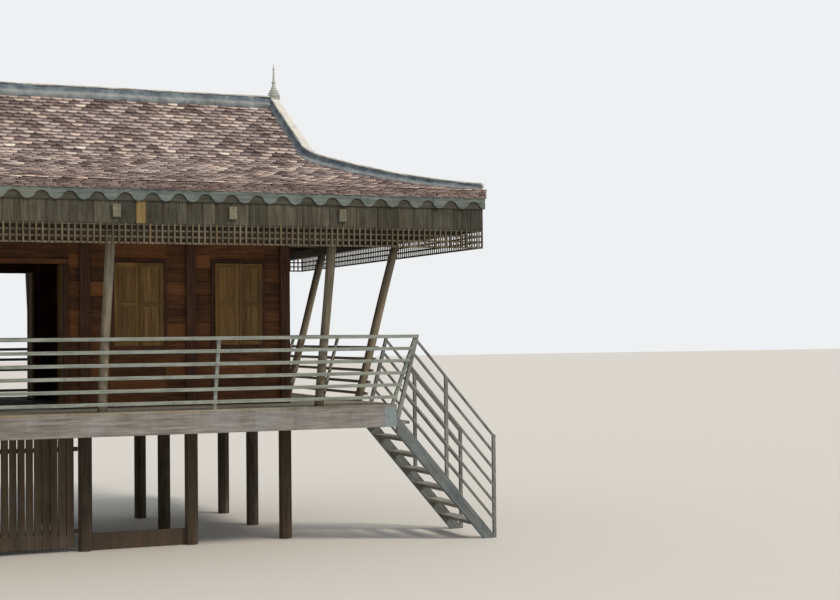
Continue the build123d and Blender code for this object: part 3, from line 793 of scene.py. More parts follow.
@dataclass
class Roof:
    """The concave hip-and-gable roof, read from the frame, as heights over a plan distance.

    Only the eave's slope, in degrees, isn't in the frame.
    """

    eave_slope: float = 7.5
    middle: float = field(init=False)
    eave_x: float = field(init=False)
    eave_y: float = field(init=False)
    gable_x: float = field(init=False)
    gable_y: float = field(init=False)
    shell: float = field(init=False)
    eave_top: float = field(init=False)
    break_top: float = field(init=False)
    ridge_top: float = field(init=False)

    def __post_init__(self) -> None:
        """Read the roof's reach and heights from the boxes of its shells."""
        skirt_low, skirt_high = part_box("roof_skirts")
        slope_low, slope_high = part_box("roof_front")
        self.middle = (skirt_low.x + skirt_high.x) / 2
        self.eave_x = (skirt_high.x - skirt_low.x) / 2
        self.eave_y = skirt_high.y
        self.gable_x = (slope_high.x - slope_low.x) / 2
        self.gable_y = -slope_low.y
        self.shell = skirt_high.z - slope_low.z
        self.eave_top = skirt_low.z + self.shell
        self.break_top = skirt_high.z
        self.ridge_top = slope_high.z

    @property
    def front_run(self) -> float:
        """Plan distance from the front eave to the gable's foot."""
        return self.eave_y - self.gable_y

    @property
    def end_run(self) -> float:
        """Plan distance from the end eave to the gable."""
        return self.eave_x - self.gable_x

    def height(self, distance: Array, run: float) -> Array:
        """Height of the tile line.

        A parabola leaves the eave at the eave slope and reaches the break at the gable's foot. Past
        it the slope runs straight to the ridge.

        Args:
            distance: Plan distances in from the eave.
            run: Plan distance from this eave to the gable's foot.

        Returns:
            The heights.
        """
        share = np.clip(distance / run, 0, 1)
        bend = np.tan(np.radians(self.eave_slope)) * self.front_run / 2
        rise = self.break_top - self.eave_top
        straight = np.clip(distance - run, 0, None) * (self.ridge_top - self.break_top) / self.gable_y
        return self.eave_top + 2 * bend * share * (1 - share) + rise * share**2 + straight


@dataclass
class Slope:
    """One tiled slope, measured from its eave: plan distance inwards and place along the eave.

    Run and side_run are the plan distances to the gable's foot on this slope and the next ones.
    Reach is the plan distance to its top, and outer is the eave's distance from the middle. Plan,
    level and travelled tabulate the way up.
    """

    roof: Roof
    side: Side
    samples: int = 400
    run: float = field(init=False)
    side_run: float = field(init=False)
    reach: float = field(init=False)
    half_span: float = field(init=False)
    outer: float = field(init=False)
    plan: Array = field(init=False)
    level: Array = field(init=False)
    travelled: Array = field(init=False)

    def __post_init__(self) -> None:
        """Take this side's reach, and tabulate the way up the slope."""
        roof = self.roof
        long = self.side.long
        self.run = roof.front_run if long else roof.end_run
        self.side_run = roof.end_run if long else roof.front_run
        self.reach = roof.eave_y if long else roof.end_run
        self.half_span = roof.eave_x if long else roof.eave_y
        self.outer = roof.eave_y if long else roof.eave_x
        self.plan = np.linspace(0, self.reach, self.samples)
        self.level = roof.height(self.plan, self.run)
        steps = np.hypot(np.diff(self.plan), np.diff(self.level))
        self.travelled = np.concatenate([[0], np.cumsum(steps)])

    def at(self, way: Array) -> Array:
        """Plan distance and height of places on the way up the slope."""
        columns = (self.plan, self.level)
        return np.stack([np.interp(way, self.travelled, column) for column in columns], axis=-1)

    def bound(self, distance: Array) -> Array:
        """Half the width of the slope between its hips at a plan distance."""
        return self.half_span - self.side_run * np.clip(distance / self.run, 0, 1)


@dataclass
class TiledRoof:
    """Flat clay tiles with rounded tails, laid in courses on the four slopes.

    In the photograph the tiles are about 155 mm wide and each course shows about 113 mm. Under
    the first course, short layers of tile build up the edge of the eave. Slide, drift, turn and
    tilt are how unevenly the tiles were laid.
    """

    roof: Roof
    seed: int = 11
    boarding_seed: int = 560
    width: float = 0.153
    pitch: float = 0.155
    exposure: float = 0.113
    length: float = 0.235
    thickness: float = 0.013
    tail: float = 0.052
    arc_points: int = 7
    head_lift: float = 0.004
    tail_lift: float = 0.027
    uneven_lift: float = 0.003
    slide: float = 0.006
    drift: float = 0.003
    turn: float = 0.02
    tilt: float = 0.012
    edge_gap: float = 0.002
    ridge_gap: float = 0.06
    side_share: float = 0.35
    eave_layers: int = 6
    eave_step: float = 0.0172
    eave_depth: float = 0.06
    eave_width: float = 1.02
    eave_tail: float = 0.35
    eave_slide: float = 0.007
    eave_tones: tuple[float, float] = (0.1, 0.6)
    boarding_inset: float = 0.02

    def outline(self) -> Array:
        """Outline one tile, with a half ellipse at the tail and a square head.

        Returns:
            Its corners as across and up the tile.
        """
        angle = np.linspace(np.pi, 2 * np.pi, self.arc_points)
        arc = np.stack([self.width / 2 * np.cos(angle), self.tail * (1 + np.sin(angle))], axis=1)
        head = np.array([(self.width / 2, self.length), (-self.width / 2, self.length)])
        return np.concatenate([arc, head])

    def columns(self, slope: Slope) -> Array:
        """Places of the tiles along the eave, with one more than fits on each side."""
        half_count = int(slope.half_span / self.pitch) + 1
        return np.arange(-half_count, half_count + 1) * self.pitch

    def lay(self, slope: Slope, place: Array, flat: Array, tone: Array) -> Shape:
        """Turn tiles of one slope into a shape.

        Args:
            slope: Slope that the tiles lie on.
            place: Along the eave, plan distance and height of each corner, two layers a tile.
            flat: Each corner's place on its own tile.
            tone: Tone of each tile.

        Returns:
            The tiles as one shape.
        """
        bound = slope.bound(place[..., 1])
        along = np.clip(place[..., 0], -bound, bound)
        out = slope.outer - np.clip(place[..., 1], 0, slope.reach)
        points = np.stack([-along, out, place[..., 2]], axis=-1)
        tones = np.broadcast_to(tone[:, None, None], points.shape[:3])
        faces = loft_faces(2, points.shape[2], len(points))
        return Shape(points, faces, flat, tones).turned(slope.side, self.roof.middle)

    def courses(self, slope: Slope, rng: np.random.Generator) -> Shape:
        """Lay the courses of one slope.

        Each tile lies flat on the slope, with its tail lifted by the courses under it. Its outline
        is carried by the tile's own across, upward and normal directions, with a small turn, tilt
        and slide, and alternate courses are moved by half a tile.

        Args:
            slope: Slope to tile.
            rng: Source of the small shifts and tones.

        Returns:
            The tiles as one shape.
        """
        rows = np.arange(0, slope.travelled[-1] - self.ridge_gap, self.exposure)
        way, along = np.meshgrid(rows, self.columns(slope), indexing="ij")
        along = along + (np.arange(len(rows)) % 2)[:, None] * self.pitch / 2
        way = np.maximum(way + rng.normal(0, self.slide, way.shape), self.edge_gap).ravel()
        along = (along + rng.normal(0, self.drift, along.shape)).ravel()
        keep = np.abs(along) < slope.bound(slope.at(way)[:, 0]) + self.side_share * self.width
        way, along = way[keep], along[keep]
        count = len(way)
        tail, head = slope.at(way), slope.at(way + self.length)
        rise = unit(head - tail)
        normal = np.stack([-rise[:, 1], rise[:, 0]], axis=1)
        tail = tail + normal * (self.tail_lift + rng.normal(0, self.uneven_lift, (count, 1)))
        rise = unit(head + normal * self.head_lift - tail)
        normal = np.stack([-rise[:, 1], rise[:, 0]], axis=1)
        turn = rng.normal(0, self.turn, (count, 1))
        across, ahead = self.outline().T
        flat = np.stack([across - turn * ahead, ahead + turn * across], axis=-1)
        tilt = rng.normal(0, self.tilt, (count, 1)) * across
        lift = np.stack([tilt, tilt + self.thickness], axis=1)
        section = tail[:, None, None] + rise[:, None, None] * flat[:, None, :, 1:]
        section = section + normal[:, None, None] * lift[..., None]
        section[..., 1] = np.minimum(section[..., 1], self.roof.ridge_top + self.tail_lift)
        place = np.broadcast_to((along[:, None] + flat[..., 0])[:, None, :, None], (*lift.shape, 1))
        place = np.concatenate([place, section], axis=-1)
        own = np.concatenate([flat, np.zeros((*flat.shape[:2], 1))], axis=-1)
        own = np.stack([own, own], axis=1) + rng.uniform(0, SPREAD, (count, 1, 1, 1)) * (1, 0, 1)
        return self.lay(slope, place, own, rng.uniform(0, 1, count))

    def eave(self, slope: Slope, rng: np.random.Generator) -> Shape:
        """Lay the short layers that build up the eave's edge.

        Args:
            slope: Slope whose eave is built up.
            rng: Source of the small shifts and tones.

        Returns:
            The layers as one shape.
        """
        columns = self.columns(slope)
        layer, along = np.meshgrid(np.arange(self.eave_layers), columns, indexing="ij")
        along = along + rng.uniform(0, self.pitch, (self.eave_layers, 1)) - self.pitch / 2
        along = (along + rng.normal(0, self.slide, along.shape)).ravel()
        keep = np.abs(along) < slope.half_span + self.side_share * self.width
        along, layer = along[keep], layer.ravel()[keep]
        count = len(along)
        across, ahead = self.outline().T
        across = across * self.eave_width
        ahead = np.where(ahead == self.length, self.eave_depth, self.eave_tail * ahead)
        inwards = rng.uniform(0, self.eave_slide, (count, 1)) + ahead
        low = self.roof.eave_top - self.roof.shell + layer * self.eave_step
        level = low[:, None, None] + np.array([[0.0], [self.thickness]])
        parts = ((along[:, None] + across)[:, None], inwards[:, None], level)
        shape = (count, 2, len(across))
        place = np.stack([np.broadcast_to(part, shape) for part in parts], axis=-1)
        own = place + rng.uniform(0, SPREAD, (count, 1, 1, 1)) * (1, 0, 1)
        # Only the edge of a short layer shows, so all of it takes the shade of one depth.
        own[..., 1] = self.eave_depth
        return self.lay(slope, place, own, rng.uniform(*self.eave_tones, count))

    def build(self) -> None:
        """Lay the tiles of the four slopes, and the boarding under them."""
        roof, inset = self.roof, self.boarding_inset
        for number, side in enumerate(Side):
            rng = np.random.default_rng(self.seed + number)
            slope = Slope(roof, side)
            shape = Shape.joined([self.courses(slope, rng), self.eave(slope, rng)])
            shape.to_object(f"roof_tiles_{side.name.lower()}", TILES, Slot.TILE)
        reach = (roof.middle, roof.eave_x - inset, roof.eave_y - inset)
        boarding = WornCopy(SHADED, Slot.TILE, edge=0, reach=reach)
        for node in ("roof_front", "roof_rear", "roof_skirts", "roof_left", "roof_right"):
            boarding.build(node, self.boarding_seed)


# Turned profile of a finial from its foot up: radius and height, each as a share of the whole.
FINIAL_RINGS = (
    *((0.84, -0.02), (0.9, 0.0), (1.0, 0.015), (1.0, 0.04), (0.9, 0.055), (0.76, 0.06)),
    *((0.86, 0.075), (0.9, 0.095), (0.8, 0.12), (0.6, 0.13), (0.68, 0.15), (0.7, 0.175)),
    *((0.56, 0.2), (0.46, 0.21), (0.5, 0.235), (0.4, 0.26), (0.33, 0.3), (0.24, 0.345)),
    *((0.2, 0.375), (0.3, 0.4), (0.35, 0.425), (0.28, 0.455), (0.18, 0.475), (0.2, 0.5)),
    *((0.16, 0.6), (0.12, 0.72), (0.1, 0.8), (0.16, 0.82), (0.18, 0.84), (0.11, 0.865)),
    *((0.06, 0.93), (0.02, 1.0)),
)


@dataclass
class RoofCaps:
    """Mortar caps on the ridge, the gable edges and the hips, with a thin coping, and the finials.

    The share of the pale top colour at each corner of half a section, from the foot to the top,
    is whole on the coping's top, where it is a painted highlight of sunlight. The three reaches
    count the points on each side over which the trowel marks, the bend from gable edge to hip and
    the start of the outer fillet are averaged.
    """

    roof: Roof
    width: float = 0.15
    height: float = 0.17
    foot_height: float = 0.125
    coping: float = 0.03
    coping_out: float = 0.006
    arris: float = 0.012
    arris_drop: float = 0.007
    taper: float = 0.014
    fillet_out: float = 0.045
    fillet_top: float = 0.085
    fillet_foot: float = 0.034
    fillet_start: float = 0.03
    sink: float = 0.03
    hip_end: float = 0.985
    eave_inset: float = 0.012
    rough: float = 0.005
    washed: tuple[float, ...] = (0, 0.3, 0, 0, 0.25, 1, 1)
    step: float = 0.04
    marks_reach: int = 2
    bend_reach: int = 4
    fillet_reach: int = 5
    finial_sides: int = 32
    plinth_chamfer: float = 0.008

    def carry(self, path: Array, height: Array, fillets: Array, seed: int) -> Shape:
        """Carry the cap's section along a path.

        The section is a wall that narrows upwards to a thin coping, with a mortar fillet where it
        meets the tiles. A point is path + side * a + upright * b, and slow random waves move it
        like trowel marks.

        Args:
            path: Points on the tile line under the cap.
            height: Height of the cap at each point.
            fillets: Share of the fillet on the left and on the right at each point.
            seed: Seed of the trowel marks.

        Returns:
            The cap as a shape.
        """
        rng = np.random.default_rng(seed)
        out = self.width / 2 - self.taper
        wall = self.width / 2 - self.coping_out
        flat = np.gradient(path, axis=0) * (1, 1, 0)
        side = np.cross(UP, unit(flat))
        left, right = wall + self.fillet_out * fillets.T
        ones = np.ones(len(path))
        half = (
            (left, -self.sink * ones),
            (left, self.fillet_foot * ones),
            (wall * ones, self.fillet_top * ones),
            ((out - self.coping_out) * ones, height - self.coping),
            (out * ones, height - self.coping + self.coping_out),
            (out * ones, height - self.arris_drop),
            ((out - self.arris) * ones, height),
        )
        other = [(-right, rise) for _, rise in half[:2]]
        other += [(-across, rise) for across, rise in half[2:]]
        section = np.array([*half, *other[::-1]]).transpose(2, 0, 1)
        marks = rng.normal(0, 2 * self.rough, section.shape).reshape(len(path), -1)
        marks = smoothed(marks, self.marks_reach).reshape(section.shape)
        marks[..., 1] = -np.abs(marks[..., 1])
        section = section + marks
        points = path[:, None] + side[:, None] * section[..., :1] + UP * section[..., 1:]
        tone = np.broadcast_to([*self.washed, *self.washed[::-1]], points.shape[:2])
        return Shape(points, loft_faces(len(path), section.shape[1]), tone=tone)

    def ridge(self) -> Shape:
        """Cap along the ridge, between the finials.

        Returns:
            The cap as a shape.
        """
        roof = self.roof
        reach = roof.gable_x - self.width
        place = np.arange(-reach, reach, self.step)
        place[-1] = reach
        path = np.stack([place + roof.middle, 0 * place, 0 * place + roof.ridge_top], axis=1)
        fillets = np.ones((len(path), 2))
        return self.carry(path, np.full(len(path), self.height), fillets, seed=21)

    def gable_edges(self) -> Shape:
        """Caps from the finials down the gable edges and on down the hips to the eaves.

        The two straight lines in plan are joined by a moving average, so that the cap bends from
        the gable edge into the hip as one band.

        Returns:
            The four caps as one shape.
        """
        roof = self.roof
        length = np.hypot(roof.end_run, roof.front_run)
        down = np.arange(self.width / 2, roof.gable_y, self.step)
        share = np.arange(0, self.hip_end, self.step / length)
        on_hip = np.concatenate([0 * down, share])
        height = self.height - (self.height - self.foot_height) * on_hip
        outer = smoothed((on_hip[:, None] > self.fillet_start).astype(float), self.fillet_reach)
        inner = np.ones_like(outer)
        limit = np.array((roof.eave_x - self.eave_inset, roof.eave_y - self.eave_inset, FAR))
        shapes = []
        for number, (end, half) in enumerate(QUADRANTS):
            verge = (
                np.full(len(down), end * (roof.gable_x - self.width / 2)),
                half * down,
                roof.height(roof.eave_y - down, roof.front_run),
            )
            hip = (
                end * (roof.gable_x + share * roof.end_run),
                half * (roof.gable_y + share * roof.front_run),
                roof.height((1 - share) * roof.front_run, roof.front_run),
            )
            path = np.concatenate([np.stack(line, axis=1) for line in (verge, hip)])
            path = smoothed(path, self.bend_reach)
            pair = (outer, inner) if end * half < 0 else (inner, outer)
            shape = self.carry(path, height, np.concatenate(pair, axis=1), seed=26 + number)
            shape.points = np.clip(shape.points, -limit, limit) + (roof.middle, 0, 0)
            shapes.append(shape)
        return Shape.joined(shapes)

    def finials(self) -> Shape:
        """Turned finials on square plinths: radii and heights carried round an upright axis.

        Returns:
            The finials and the plinths as one shape.
        """
        low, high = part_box("finials")
        crown = self.roof.ridge_top + self.height
        radius, rise = np.array(FINIAL_RINGS).T[..., None]
        angle = 2 * np.pi * np.arange(self.finial_sides) / self.finial_sides
        radius = radius * (high.y - low.y) / 2
        level = crown + rise * (high.z - crown) + 0 * angle
        half = self.width / 2
        foot = crown - self.height - self.sink
        shapes = []
        for end in (-1, 1):
            centre = self.roof.middle + end * (self.roof.gable_x - half)
            points = np.stack([centre + radius * np.cos(angle), radius * np.sin(angle), level], axis=-1)
            shapes.append(Shape(points, loft_faces(*level.shape)))
            plinth = np.array([[(centre - half, -half, foot), (centre + half, half, crown)]])
            shapes.append(Joinery(seed=31, chamfer=self.plinth_chamfer).fill(plinth, axis=2))
        return Shape.joined(shapes)

    def build(self) -> None:
        """Make the caps and the finials."""
        self.ridge().to_object("ridge_coping", CAPS, Slot.CEMENT, ["ridge_cap"])
        replaced = ["verge_caps", "hip_caps"]
        self.gable_edges().to_object("gable_and_hip_copings", CAPS, Slot.CEMENT, replaced)
        self.finials().to_object("turned_finials", FINIAL, Slot.CEMENT, ["finials"])


@dataclass
class EaveTrim:
    """Scalloped fascia on a plain backing board, upright frieze boards and the lattice under them.

    One frieze board of each side is a new ochre one, as in the photograph: the one at new_board, a
    place along the side. The tones of the others are lowered by a share of their second random
    number, which keeps them from turning ochre too.
    """

    roof: Roof
    lobe_pitch: float = 0.334
    lobe_points: int = 24
    lobe_depth: float = 0.102
    lobe_lift: float = 0.045
    wave_power: float = 0.62
    front_board: float = 0.013
    fascia_length: float = 2.9
    fascia_tones: tuple[float, float] = (0.3, 0.7)
    fascia_shift: float = 7.0
    widths: tuple[float, float] = (0.12, 0.3)
    most_tone: float = 0.8
    second_drop: float = 0.3
    new_board: float = -1.03
    new_tone: float = 0.677
    bar: float = 0.024
    cell: float = 0.076
    rows: int = 3
    thin_chamfer: float = 0.002
    bar_bow: float = 0.003

    def panel(self, kind: str, side: Side) -> tuple[Array, Array]:
        """Box of a trim node on one side.

        Args:
            kind: First word of the node's name.
            side: Side of the house.

        Returns:
            Its lowest and highest corner as along, outwards and upright.
        """
        low, high = (np.array(corner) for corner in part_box(f"{kind}_{side.trim}"))
        front_low, front_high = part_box(f"{kind}_front")
        thick = front_high.y - front_low.y
        span = (high[0] - low[0]) / 2 if side.long else high[1]
        outer = max(-low[1], high[1]) if side.long else (high[0] - low[0]) / 2
        return np.array((-span, outer - thick, low[2])), np.array((span, outer, high[2]))

    def fascia(self, side: Side, seed: int) -> Shape:
        """Scalloped board in front of the backing board.

        The lower edge is a cosine whose size is raised to a power below one, which rounds the
        lobes and the arches alike. The board is that edge, the top edge and its two faces.

        Args:
            side: Side of the house.
            seed: Seed of the tones.

        Returns:
            The board.
        """
        low, high = self.panel("fascia", side)
        count = round(2 * high[0] / self.lobe_pitch)
        place = np.linspace(low[0], high[0], count * self.lobe_points + 1)
        wave = -np.cos(2 * np.pi * count * (place - low[0]) / (high[0] - low[0]))
        rounded = 0.5 + 0.5 * np.sign(wave) * np.abs(wave) ** self.wave_power
        edge = low[2] + self.lobe_lift + self.lobe_depth * rounded
        inner = high[1] - self.front_board
        ring = ((high[1], high[2]), (inner, high[2]), (inner, edge), (high[1], edge))
        columns = [np.stack([place, 0 * place + out, 0 * place + rise], axis=1) for out, rise in ring]
        points = np.stack(columns, axis=1)
        board = np.floor((place - low[0]) / self.fascia_length).astype(int)
        tone = np.random.default_rng(seed).uniform(*self.fascia_tones, board.max() + 1)[board]
        tone = np.broadcast_to(tone[:, None], points.shape[:2])
        grain = points + board[:, None, None] * self.fascia_shift
        return Shape(points, loft_faces(len(place), 4), grain, tone)

    def backing(self, side: Side, seed: int) -> Shape:
        """Plain board that closes the arches between the lobes.

        Args:
            side: Side of the house.
            seed: Seed of the tones.

        Returns:
            The board.
        """
        low, high = self.panel("fascia", side)
        box = (low + (0, 0, self.lobe_lift), high - (0, self.front_board, 0))
        return Joinery(seed, chamfer=self.thin_chamfer).fill(np.array([box]), axis=0)

    def frieze(self, side: Side, seed: int) -> Shape:
        """Upright boards of random widths, one of them new.

        Args:
            side: Side of the house.
            seed: Seed of the widths and tones.

        Returns:
            The boards as one shape.
        """
        low, high = self.panel("frieze", side)
        rng = np.random.default_rng(seed)
        widths = rng.uniform(*self.widths, round(2 * high[0] / np.mean(self.widths)))
        edges = low[0] + np.concatenate([[0], np.cumsum(widths)]) * 2 * high[0] / widths.sum()
        tone = rng.uniform(0, self.most_tone, len(widths))
        tone = tone - self.second_drop * np.mod(tone * SECOND_TONE, 1) / SECOND_TONE
        tone[np.searchsorted(edges, self.new_board) - 1] = self.new_tone
        return Joinery(seed + 1).fill(split(low, high, 0, edges), axis=2, tone=tone)

    def lattice(self, side: Side, seed: int) -> Shape:
        """Rails and uprights of the lattice, halved over each other.

        Args:
            side: Side of the house.
            seed: Seed of the bows and tones.

        Returns:
            The bars as one shape.
        """
        low, high = self.panel("lattice", side)
        half = (high[1] + low[1]) / 2
        columns = round((high[0] - low[0] - self.bar) / self.cell) + 1
        place = np.linspace(low[0], high[0] - self.bar, columns)
        uprights = split((0, half, low[2]), high, 0, np.append(place, 0.0))
        uprights[:, 1, 0] = place + self.bar
        level = np.linspace(low[2], high[2] - self.bar, self.rows + 1)
        rails = split(low, (high[0], half, high[2]), 2, np.append(level, 0.0))
        rails[:, 1, 2] = level + self.bar
        short = Joinery(seed, chamfer=self.thin_chamfer, bow=self.bar_bow, stations=5)
        long = Joinery(seed + 1, chamfer=self.thin_chamfer, bow=self.bar_bow, stations=12)
        return Shape.joined([short.fill(uprights, axis=2), long.fill(rails, axis=0)])

    def build(self) -> None:
        """Make the trim of the four sides, and the beam ends that pass through it."""
        makers = (
            ("fascia", self.fascia, FASCIA, 40),
            ("backing", self.backing, BACKING, 50),
            ("frieze", self.frieze, FRIEZE, 60),
            ("lattice", self.lattice, LATTICE, 70),
        )
        for kind, maker, finish, seed in makers:
            for sides in ((Side.FRONT,), (Side.REAR,), (Side.LEFT, Side.RIGHT)):
                shapes = [maker(side, seed).turned(side, self.roof.middle) for side in sides]
                ending = sides[0].trim
                replaced = [] if kind == "backing" else [f"{kind}_{ending}"]
                name = f"{kind}_boards_{ending}"
                Shape.joined(shapes).to_object(name, finish, Slot.WEATHERED, replaced)
        for seed, node in enumerate(("tie_beams", "end_outriggers"), start=80):
            WornCopy(BEAM).build(node, seed)


@dataclass
class Walls:
    """Level boards between the wall posts, gable boards, shutters and door leaves."""

    course: float = 0.19
    joint: float = 0.006
    stile: float = 0.055
    leaf_chamfer: float = 0.003
    panel_board: float = 0.1
    panel_thin: float = 0.014
    head_height: float = 0.07
    gable_board: float = 0.15
    gable_shift: float = 1.9

    def boards(self, boxes: Array, seed: int) -> Shape:
        """Fill wall panels with level boards that meet in a V-shaped joint.

        Args:
            boxes: Lowest and highest corner of each panel.
            seed: Seed of the tones.

        Returns:
            The boards as one shape.
        """
        parts = []
        for low, high in boxes:
            count = max(1, round((high[2] - low[2]) / self.course))
            parts.append(split(low, high, 2, np.linspace(low[2], high[2], count + 1)))
        boards = np.concatenate(parts)
        size = (boards[:, 1] - boards[:, 0]).max(axis=0)
        return Joinery(seed, chamfer=self.joint).fill(boards, axis=int(size[1] > size[0]))

    def leaf(self, low: Array, high: Array, seed: int) -> Shape:
        """One shutter or door leaf: two stiles, three rails and thin upright boards between.

        Args:
            low: Lowest corner of the leaf.
            high: Highest corner of the leaf.
            seed: Seed of the tones.

        Returns:
            The leaf as one shape.
        """
        size = high - low
        across = int(size[1] > size[0])
        inner = np.array((low[across] + self.stile, high[across] - self.stile))
        columns = np.array((low[across], *inner, high[across]))
        stiles = split(low, high, across, columns)[::2]
        rail_low, rail_high = low.copy(), high.copy()
        rail_low[across], rail_high[across] = inner
        foot, top, half = low[2], high[2], self.stile / 2
        middle = (foot + top) / 2
        levels = (foot, foot + self.stile, middle - half, middle + half, top - self.stile, top)
        rails = split(rail_low, rail_high, 2, np.array(levels))[::2]
        thin = (size[1 - across] - self.panel_thin) / 2
        rail_low[1 - across] += thin
        rail_high[1 - across] -= thin
        edges = np.linspace(*inner, max(2, round((inner[1] - inner[0]) / self.panel_board)) + 1)
        panels = split(rail_low, rail_high, across, edges)
        parts = ((stiles, 2), (rails, across), (panels, 2))
        shapes = [
            Joinery(seed + number, chamfer=self.leaf_chamfer).fill(boxes, axis)
            for number, (boxes, axis) in enumerate(parts)
        ]
        return Shape.joined(shapes)

    def leaves(self, node: str, seed: int) -> Shape:
        """All leaves of a CAD node."""
        boxes = enumerate(boxes_of(node))
        return Shape.joined([self.leaf(low, high, seed + 3 * number) for number, (low, high) in boxes])

    def door_heads(self) -> Shape:
        """Head timbers of the doorways and the boards over them.

        Returns:
            The heads and the boards as one shape.
        """
        _, jamb_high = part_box("door_jambs")
        board_low, board_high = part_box("wall_front")
        half = (board_high.y - board_low.y) / 2
        heads = boxes_of("door_heads")
        panels = heads.copy()
        heads[:, 1, 2] = panels[:, 0, 2] = jamb_high.z + self.head_height
        panels[:, :, 1] = heads[:, :, 1].mean(axis=1)[:, None] + (-half, half)
        return Shape.joined([Joinery(seed=91).fill(heads, axis=0), self.boards(panels, seed=93)])

    def gables(self) -> Shape:
        """Upright gable boards whose tops follow the slope.

        A board's corners are its two edges across by the foot and the slope's height there.

        Returns:
            The boards of both gables as one shape.
        """
        shapes = []
        for low, high in boxes_of("gable_walls"):
            edges = np.linspace(low[1], high[1], 2 * round(high[1] / self.gable_board) + 1)
            top = low[2] + (high[2] - low[2]) * (1 - np.abs(edges) / high[1])
            left, right = edges[:-1], edges[1:]
            foot = np.full(len(left), low[2])
            ring = ((left, foot), (right, foot), (right, top[1:]), (left, top[:-1]))
            points = np.array([[(0 * y + x, y, z) for y, z in ring] for x in (low[0], high[0])])
            points = points.transpose(3, 0, 1, 2)
            tone = np.random.default_rng(seed=95).uniform(0, 1, len(left))
            tone = np.broadcast_to(tone[:, None, None], points.shape[:3])
            shift = np.arange(len(left))[:, None, None, None] * self.gable_shift
            grain = points[..., ::-1] + shift
            shapes.append(Shape(points, loft_faces(2, 4, len(left)), grain, tone))
        return Shape.joined(shapes)

    def build(self) -> None:
        """Make the boards, leaves and heads of all walls."""
        walls = ("wall_front", "wall_rear", "wall_ends", "window_panels")
        for seed, node in enumerate(walls, start=100):
            shape = self.boards(boxes_of(node), seed)
            shape.to_object(f"{node}_boards", WALL, Slot.WALL, [node])
        self.door_heads().to_object("door_head_boards", WALL, Slot.WALL, ["door_heads"])
        self.gables().to_object("gable_boards", FRIEZE, Slot.WALL, ["gable_walls"])
        leaves = (("window_shutters", "shutter_leaves", 200), ("door_leaves", "door_boards", 300))
        for node, name, seed in leaves:
            self.leaves(node, seed).to_object(name, SHUTTER, Slot.WALL, [node])
        frames = ("wall_posts", "door_jambs", "window_jambs", "window_rails")
        for seed, node in enumerate(frames, start=320):
            WornCopy(FRAME, Slot.WALL).build(node, seed)


@dataclass
class Gallery:
    """Floor boards, round leaning posts, railings and the rim of the open gallery.

    Each row of floor boards is cut at a first share of its length, and again a further share on.
    """

    board: float = 0.148
    joint: float = 0.003
    chamfer: float = 0.003
    first_cuts: tuple[float, ...] = (0.2, 0.28, 0.36, 0.44)
    further_cuts: tuple[float, ...] = (0.28, 0.36)
    sides: int = 20
    slack: float = 0.001

    def floor(self) -> Shape:
        """Floor boards along X, each row in three lengths that meet at changing places.

        Returns:
            The boards as one shape.
        """
        rng = np.random.default_rng(seed=400)
        low, high = (np.array(corner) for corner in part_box("deck"))
        count = round((high[1] - low[1]) / self.board)
        rows = split(low, high, 1, np.linspace(low[1], high[1], count + 1))
        rows[:, 0, 1] += self.joint
        first = rng.choice(self.first_cuts, count)
        second = first + rng.choice(self.further_cuts, count)
        share = np.stack([0 * first, first, second, 0 * first + 1], axis=1)
        cuts = low[0] + (high[0] - low[0]) * share
        boards = [split(*row, 0, edges) for row, edges in zip(rows, cuts)]
        return Joinery(seed=401, chamfer=self.chamfer).fill(np.concatenate(boards), axis=0)

    def posts(self) -> Shape:
        """Round posts from the floor up and outwards to the gallery plates.

        The middle of a post's foot or head is halfway between the limits of its solid's lowest or
        highest corners.

        Returns:
            The posts as one shape.
        """
        starts, ends, sizes = [], [], []
        for points, _ in solids_of("leaning_posts"):
            foot = points[points[:, 2] < points[:, 2].min() + self.slack]
            head = points[points[:, 2] > points[:, 2].max() - self.slack]
            starts.append((foot.min(axis=0) + foot.max(axis=0)) / 2)
            ends.append((head.min(axis=0) + head.max(axis=0)) / 2)
            sizes.append(np.ptp(foot[:, :2], axis=0).min())
        start, end = np.array(starts), np.array(ends)
        side = np.cross(end - start, UP)
        size = np.array(sizes)[:, None]
        joinery = Joinery(seed=410, sides=self.sides, stations=12, bow=0.004, wear=0.05)
        return joinery.build(start, end, side, size)

    def build(self) -> None:
        """Make the floor, the posts, the railings and the rim."""
        self.floor().to_object("floor_boards", FLOOR, Slot.WEATHERED, ["deck"])
        posts = self.posts()
        posts.to_object("round_leaning_posts", POST, Slot.WEATHERED, ["leaning_posts"], smooth=True)
        for seed, side in enumerate(Side, start=420):
            WornCopy(RAIL, edge=0.004).build(f"railing_{side.name.lower()}", seed)
        WornCopy(RIM).build("rim_boards", seed=430)
        WornCopy(RIM_END).build("rim_end_beams", seed=431)


@dataclass
class Frame:
    """Timbers whose CAD solids have the right shape: the floor, the roof, the stair and the stilts."""

    slat_pitch: float = 0.107
    shaded: tuple[str, ...] = (
        "floor_girders",
        "floor_joists",
        "rafters",
        "skirt_rafters",
        "hip_rafters",
        "purlins",
        "end_purlins",
        "roof_posts",
        "long_plates",
        "end_plates",
        "stilts",
    )

    def build(self) -> None:
        """Dress the frames, the stair and the undercroft's slats."""
        for seed, node in enumerate(self.shaded, start=500):
            WornCopy(SHADED).build(node, seed)
        WornCopy(STRINGER).build("stair_stringers", seed=540)
        WornCopy(FLOOR).build("stair_treads", seed=541)
        WornCopy(STAIR_RAIL, edge=0.004).build("stair_railings", seed=550)
        WornCopy(SHADED, edge=0.003, pitch=self.slat_pitch).build("undercroft_screen", seed=551)


